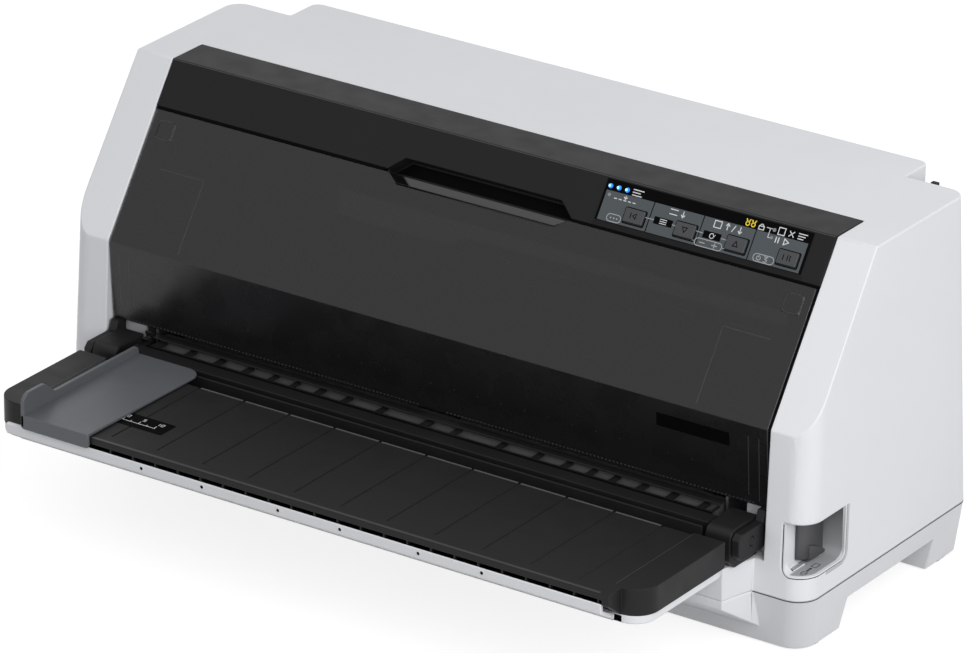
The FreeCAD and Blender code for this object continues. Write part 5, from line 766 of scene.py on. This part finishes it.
def cover_front_marks(front):
    """A dark field, fine dots and the toothed lower edge on the cover's upright part."""
    raised("cover_dark_field", [rect(143.0, 188.0, 109.2, 116.8)], front, "front_cover", "black", high=0.04)
    dots = [disc(x, 95.0, 0.38, 8) for x in range(-180, 190, 15)]
    raised("cover_dots", dots, front, "front_cover", "dark")
    first, pitch, count, wide, middle, reach = -204.0, 2.4, 171, 1.1, 7.5, 203.0
    # The teeth are real; their lighter grey is a painted highlight along the cover's lower edge.
    teeth = [rect(x, x + wide, 79.9, 80.6) for x in [first + pitch * k for k in range(count)]
             if middle < abs(x) < reach]
    raised("cover_edge_dots", teeth, front, "front_cover", "button", high=0.10)


def cover_trim():
    slope, front = on_skin("front_cover", "slope"), on_skin("front_cover", "front")
    cover_lines(slope, front)
    cover_notch(slope)
    cover_front_marks(front)


cover_trim()

# Trim of the tray. Coordinates run along the printer and to the rear, or up on its front face.


def tray_slot():
    """The slot behind the white front lip, with its ribs and painted shade over its floor."""
    # A black strip over the white shell's top inside the slot: painted shade.
    floor = rect(-176.0, 189.6, -183.45, -176.5)
    raised("slot_painted_shade", [floor], on_top(66.8), "tray_under", "black", low=SUNK, high=0.08)
    half, first, pitch, count = 0.55, -120.8, 14.7, 22
    places = [first + pitch * k for k in range(count)]
    ribs = [rect(x - half, x + half, -183.3, -177.0) for x in places]
    raised("slot_ribs", ribs, on_top(66.85), "tray_top", high=2.4, edge=0.1)


def tray_holes():
    """Small round holes in the white front face, in pairs, drawn as rims round black discs of painted shade.
    """
    face, row = on_front(-184.0), 64.2
    places = [start + step for start in (-99.9, -11.2, 77.7) for step in (0.0, 39.5)]
    rims = [q for x in places for q in outlined(disc(x, row, 1.15, 16), FINE)]
    raised("tray_hole_rims", rims, face, "tray_under", low=SUNK, high=0.12)
    holes = [disc(x, row, 0.95, 16) for x in places]
    raised("tray_holes", holes, face, "tray_under", "black", low=SUNK, high=0.04)


def tray_rear_edges(bed):
    """Light on the tray's rear edge, and the shade before the comb."""
    first, pitch, reach = -124.1, 29.63, 27.8
    rear = [rect(x, x + reach, -99.7, -98.45) for x in [first + pitch * k for k in range(10)]]
    raised("tray_rear_edge", rear, bed, "tray_top", "lip", high=0.10)
    comb = rect(-183.0, 183.0, -71.9, -69.3)
    raised("comb_front_edge", [comb], on_top(72.2), "front_guide", "black", high=0.12)


def tray_side_edges(bed):
    """Light on the tray's front and side edges."""
    raised("tray_lip_edge", [rect(-133.0, 189.0, -183.75, -182.0)], bed, "tray_top", "edge", high=0.07)
    # Lines lighter than the tray along the rails' inner edges: painted highlight.
    rails = [q for side in (-1, 1) for q in upright(side * 189.6, -97.5, -170.0, 0.4)]
    raised("rail_edges", rails, bed, "tray_top", "dark", high=0.12)


def paper_scale(bed):
    """A short paper scale with plain numbers on a black field."""
    field = rounded(-137.0, -105.0, -160.4, -146.0, 1.2, 4)
    raised("scale_field", [field], bed, "tray_top", "black")
    row, digit_row, line = -155.2, -151.2, 0.4
    first, step, short, long = -134.2, 5.2, 1.5, 2.6
    marks = across(-134.6, -112.6, row, line)
    for k in range(5):
        marks += upright(first + step * k, row, row + (short if k % 2 else long), THIN)
    wide, tall, waist, pitch = 1.4, 2.4, 1.3, 2.1
    digits = {
        "0": rect(0.0, wide, 0.0, tall),
        "1": [(wide / 2, 0.0), (wide / 2, tall)],
        "5": [(wide, tall), (0.0, tall), (0.0, waist), (wide, waist), (wide, 0.0), (0.0, 0.0)],
    }
    for number, x in (("0", first), ("5", -123.8), ("10", -114.0)):
        for k, digit in enumerate(number):
            points = [(x + k * pitch + u, digit_row + v) for u, v in digits[digit]]
            marks += stroke(points, line, digit == "0")
    raised("scale_marks", marks, bed, "tray_top", "white", low=FILM, high=0.10)


def tray_trim():
    bed = on_skin("tray_top", "top")
    tray_slot()
    tray_holes()
    tray_rear_edges(bed)
    paper_scale(bed)
    tray_side_edges(bed)


tray_trim()

# The sliding paper guide, in place of the plainer CAD one.

GUIDE_LEFT, GUIDE_RIGHT = -178.5, -133.5
GUIDE_REAR, GUIDE_LIP = -85.0, -185.2
PLATE_LOW, PLATE_TOP = 73.3, 75.0
FENCE_THICK, FENCE_LOW, FENCE_TOP, HUMP_TOP = 2.2, 68.0, 79.6, 87.0
FOLD_PLACE, FOLD_THICK, FOLD_LOW = -184.3, 1.7, 67.0


def edge_guide():
    """Plate, tall fence with its rounded hump, and folded front edge."""
    plate = [(GUIDE_LEFT, GUIDE_LIP), (GUIDE_RIGHT - 0.5, GUIDE_LIP), (GUIDE_RIGHT, GUIDE_REAR),
             (GUIDE_LEFT, GUIDE_REAR)]
    web = PART_FRONT + 1.65
    fence = [(PART_FRONT, FENCE_LOW), (PART_FRONT, 83.6), (-182.4, HUMP_TOP), (-167.5, HUMP_TOP),
             (-158.5, FENCE_TOP), (GUIDE_REAR, FENCE_TOP), (GUIDE_REAR, PLATE_LOW), (web, PLATE_LOW),
             (web, FENCE_LOW)]
    fold = rect(GUIDE_LEFT, GUIDE_RIGHT, FOLD_LOW, PLATE_TOP)
    bm = bmesh.new()

    def beside(y, z, out):
        return Vector((GUIDE_LEFT + out, y, z)) * MM

    prism(bm, filleted(plate, [0.0, 0.0, 8.0, 3.0]), on_top(0.0), PLATE_LOW, PLATE_TOP)
    prism(bm, filleted(fence, [0.0, 4.0, 5.0, 6.0, 6.0, 3.0, 0.0, 0.0, 0.0]), beside, 0.0, FENCE_THICK)
    prism(bm, filleted(fold, [2.0, 2.0, 1.6, 0.0]), on_front(FOLD_PLACE), 0.0, FOLD_THICK)
    mesh = finished(bm, "edge_guide_shell", 0.45, segments=3)
    piece = new_piece("edge_guide_shell", mesh, node_body["edge_guide"], node_slot["edge_guide"])
    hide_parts("edge_guide")


edge_guide()

# The release lever's recess and the casing's seam.

SEAM_HEIGHT = 34.0
FRONT_FACE, FRONT_RISE, FRONT_LEAN = -68.5, 90.9, 4.6
SIDE_DRAFT = 3.0
CORNER = 13.0
REAR_CORNER = 10.0
BACK = 96.0


def on_corner(s, z, out):
    """A point on the casing's right front skin: s runs from the front round the corner and back."""
    side = CASE_HALF - (z - SEAM_HEIGHT) / (CASE_HEIGHT - SEAM_HEIGHT) * SIDE_DRAFT
    front = FRONT_FACE + (z - SEAM_HEIGHT) / FRONT_RISE * FRONT_LEAN
    turn = CORNER * math.pi / 2
    if s <= 0:
        point = (side - CORNER + s, front - out, z)
    elif s < turn:
        angle = s / CORNER
        point = (side - CORNER + (CORNER + out) * math.sin(angle),
                 front + CORNER - (CORNER + out) * math.cos(angle), z)
    else:
        point = (side + out, front + CORNER + s - turn, z)
    return Vector(point) * MM


def dense(points, step=1.4):
    """The same line with points no further apart than a step."""
    result = [tuple(points[0])]
    for a, b in zip(points, points[1:]):
        count = max(1, math.ceil((Vector(b) - Vector(a)).length / step))
        result += [tuple(Vector(a).lerp(Vector(b), k / count)) for k in range(1, count + 1)]
    return result


def recess_line(grow):
    """The rim of the lever's recess, grown outward, along the skin and up."""
    far, low, near, r = 44.6 + grow, 47.2 - grow, -1.6 - grow, 4.6 + grow
    points = [(far, RECESS_TOP)] + arc(far - r, low + r, r, 0, -90, 6)
    points += arc(near + r, low + r, r, -90, -180, 6) + [(near, 76.0)]
    return dense(points)


def recess_rim():
    raised("recess_rim_bead", stroke(recess_line(-0.55), 0.85), on_corner, "upper_case", low=-0.4, high=0.22)
    gap = stroke(recess_line(0.2), 0.5)
    raised("recess_rim_gap", gap, on_corner, "upper_case", "black", low=SUNK, high=0.06)
    # A grey band beside the far and lower rim: painted shade on the casing.
    rim_shade = [q for q in recess_line(1.6) if q[0] > 26.0]
    raised("recess_rim_shade", stroke(rim_shade, 1.9), on_corner, "upper_case", "rim_shade", low=SUNK, high=0.04)


RECESS_LEFT, RECESS_REAR = 224.7, -36.0
FLOOR_SIDE, FLOOR_FRONT = 239.77, -67.8
FLOOR_INSET = 1.7
FLOOR_FILM = 0.14


def recess_inside():
    """Sheets over the floor and the curved rear wall of the recess, with painted shade that darkens towards
    the top.
    """
    middle = (FLOOR_SIDE - CORNER, FLOOR_FRONT + CORNER)
    floor = [(RECESS_LEFT, RECESS_REAR), (RECESS_LEFT, -64.5)]
    floor += arc(*middle, CORNER - FLOOR_INSET, -90, 0, 8)
    floor.append((FLOOR_SIDE - FLOOR_INSET, RECESS_REAR))
    raised("recess_floor_shade", [floor], on_top(RECESS_FLOOR), "upper_case", "recess", low=0.02, high=FLOOR_FILM)
    wall, bend = -30.1, 5.0
    line = [(wall, 76.4), (wall, 70.0), (wall, 64.0), (wall, 58.0)]
    line += arc(wall - bend, 53.1, bend, 0, -90, 6) + [(-36.2, 48.12)]
    rows = [[(x, y, z) for y, z in line] for x in (RECESS_LEFT, 237.6)]
    sheet("recess_lining", rows, "upper_case", "recess")


def recess_icon():
    """Two paper shapes and an arrow between them that points both ways."""
    middle, left, front, rear = 233.2, 231.9, -56.3, -53.7
    icon = outlined(rect(left, 234.6, -61.2, -58.2), FINE)
    icon += across(232.4, 234.2, -62.6, FINE) + across(232.4, 234.2, -59.6, 0.3)
    icon += upright(middle, -56.9, -53.1, 0.7)
    icon += [[(middle - 1.0, front), (middle + 1.0, front), (middle, -57.6)],
             [(middle - 1.0, rear), (middle, -52.4), (middle + 1.0, rear)]]
    icon += outlined(rect(left, 234.8, -51.0, -46.4), FINE)
    raised("recess_icon", icon, on_top(RECESS_FLOOR), "upper_case", "black", low=FLOOR_FILM, high=0.18)


def case_seam():
    """The dark joint between the two halves of the casing."""
    right = [(207.6, FRONT_FACE)] + arc(CASE_HALF - CORNER, FRONT_FACE + CORNER, CORNER, -90, 0, 10)
    right += arc(CASE_HALF - REAR_CORNER, BACK - REAR_CORNER, REAR_CORNER, 0, 90, 8)
    line = right + [(-x, y) for x, y in right[::-1]]
    last = len(line) - 1
    rows = []
    for rise, out in ((-0.28, 0.0), (-0.26, 0.05), (0.26, 0.05), (0.28, 0.0)):
        row = []
        for k, (x, y) in enumerate(line):
            along = Vector(line[min(k + 1, last)]) - Vector(line[max(k - 1, 0)])
            away = Vector((along.y, -along.x)).normalized() * out
            row.append((x + away.x, y + away.y, SEAM_HEIGHT + rise))
        rows.append(row)
    sheet("case_seam", rows, "upper_case", "seam")


recess_rim()
recess_inside()
recess_icon()
case_seam()

# Floor, world and lamp. Their lengths are in metres.

FLOOR_HALF, FLOOR_CELLS = 25.0, 8
FLOOR_SHADE, FLOOR_GLOW = 0.32, 0.80
WORLD_LEVEL, WORLD_LEAN = 0.66, (0.10, -0.10, 0.05)
WORLD_COLOR = (0.975, 0.985, 1.0, 1.0)
LAMP_PLACE, LAMP_TARGET = Vector((1.05, -0.62, 0.70)), Vector((0.1, 0.0, 0.12))
LAMP_SIZE, LAMP_POWER = 0.9, 8.4


def seen_ray(tree):
    """One for rays from the camera and for those that reflections and clear parts send on."""
    path = tree.nodes.new("ShaderNodeLightPath")
    total = path.outputs["Is Camera Ray"]
    for name in ("Is Glossy Ray", "Is Transmission Ray"):
        add = tree.nodes.new("ShaderNodeMath")
        add.operation = "MAXIMUM"
        link(tree, total, add.inputs[0])
        link(tree, path.outputs[name], add.inputs[1])
        total = add.outputs[0]
    return total


def floor_material():
    """A pale matt floor that the camera and clear reflections see as white with its shadows."""
    look = Look("floor_pale", (FLOOR_SHADE,) * 3, 0.9).tint(0.004, scale=3.0)
    tree = look.tree
    extra = tree.nodes.new("ShaderNodeEmission")
    extra.inputs["Strength"].default_value = FLOOR_GLOW
    both = tree.nodes.new("ShaderNodeAddShader")
    link(tree, look.shader.outputs[0], both.inputs[0])
    link(tree, extra.outputs[0], both.inputs[1])
    mix = tree.nodes.new("ShaderNodeMixShader")
    link(tree, seen_ray(tree), mix.inputs[0])
    link(tree, look.shader.outputs[0], mix.inputs[1])
    link(tree, both.outputs[0], mix.inputs[2])
    link(tree, mix.outputs[0], tree.nodes["Material Output"].inputs["Surface"])
    return look.material


def add_floor():
    """A wide flat floor; past its far edge the world is the same white."""
    bm = bmesh.new()
    bmesh.ops.create_grid(bm, x_segments=FLOOR_CELLS, y_segments=FLOOR_CELLS, size=FLOOR_HALF)
    mesh = as_mesh(bm, "floor")
    floor = bpy.data.objects.new("floor", mesh)
    scene.collection.objects.link(floor)
    mesh.materials.append(floor_material())


def add_world():
    """Even studio light, a little stronger from the right and the front, before a white background."""
    world = bpy.data.worlds.new("studio")
    scene.world = world
    world.use_nodes = True
    tree = world.node_tree
    tree.nodes.clear()
    out = tree.nodes.new("ShaderNodeOutputWorld")
    where = tree.nodes.new("ShaderNodeTexCoord")
    lean = tree.nodes.new("ShaderNodeVectorMath")
    lean.operation = "DOT_PRODUCT"
    link(tree, where.outputs["Generated"], lean.inputs[0])
    lean.inputs[1].default_value = WORLD_LEAN
    level = tree.nodes.new("ShaderNodeMath")
    level.operation = "ADD"
    link(tree, lean.outputs["Value"], level.inputs[0])
    level.inputs[1].default_value = WORLD_LEVEL
    light = tree.nodes.new("ShaderNodeBackground")
    light.inputs["Color"].default_value = WORLD_COLOR
    link(tree, level.outputs[0], light.inputs["Strength"])
    seen = tree.nodes.new("ShaderNodeBackground")
    seen.inputs["Color"].default_value = (1.0, 1.0, 1.0, 1.0)
    seen.inputs["Strength"].default_value = 1.0
    mix = tree.nodes.new("ShaderNodeMixShader")
    link(tree, seen_ray(tree), mix.inputs[0])
    link(tree, light.outputs[0], mix.inputs[1])
    link(tree, seen.outputs[0], mix.inputs[2])
    link(tree, mix.outputs[0], out.inputs["Surface"])


def add_lamp():
    data = bpy.data.lights.new("key", "AREA")
    data.shape = "DISK"
    data.size = LAMP_SIZE
    data.energy = LAMP_POWER
    lamp = bpy.data.objects.new("key", data)
    scene.collection.objects.link(lamp)
    lamp.location = LAMP_PLACE
    lamp.rotation_euler = (LAMP_PLACE - LAMP_TARGET).to_track_quat("Z", "Y").to_euler()


add_floor()
add_world()
add_lamp()
scene.view_settings.view_transform = "Standard"
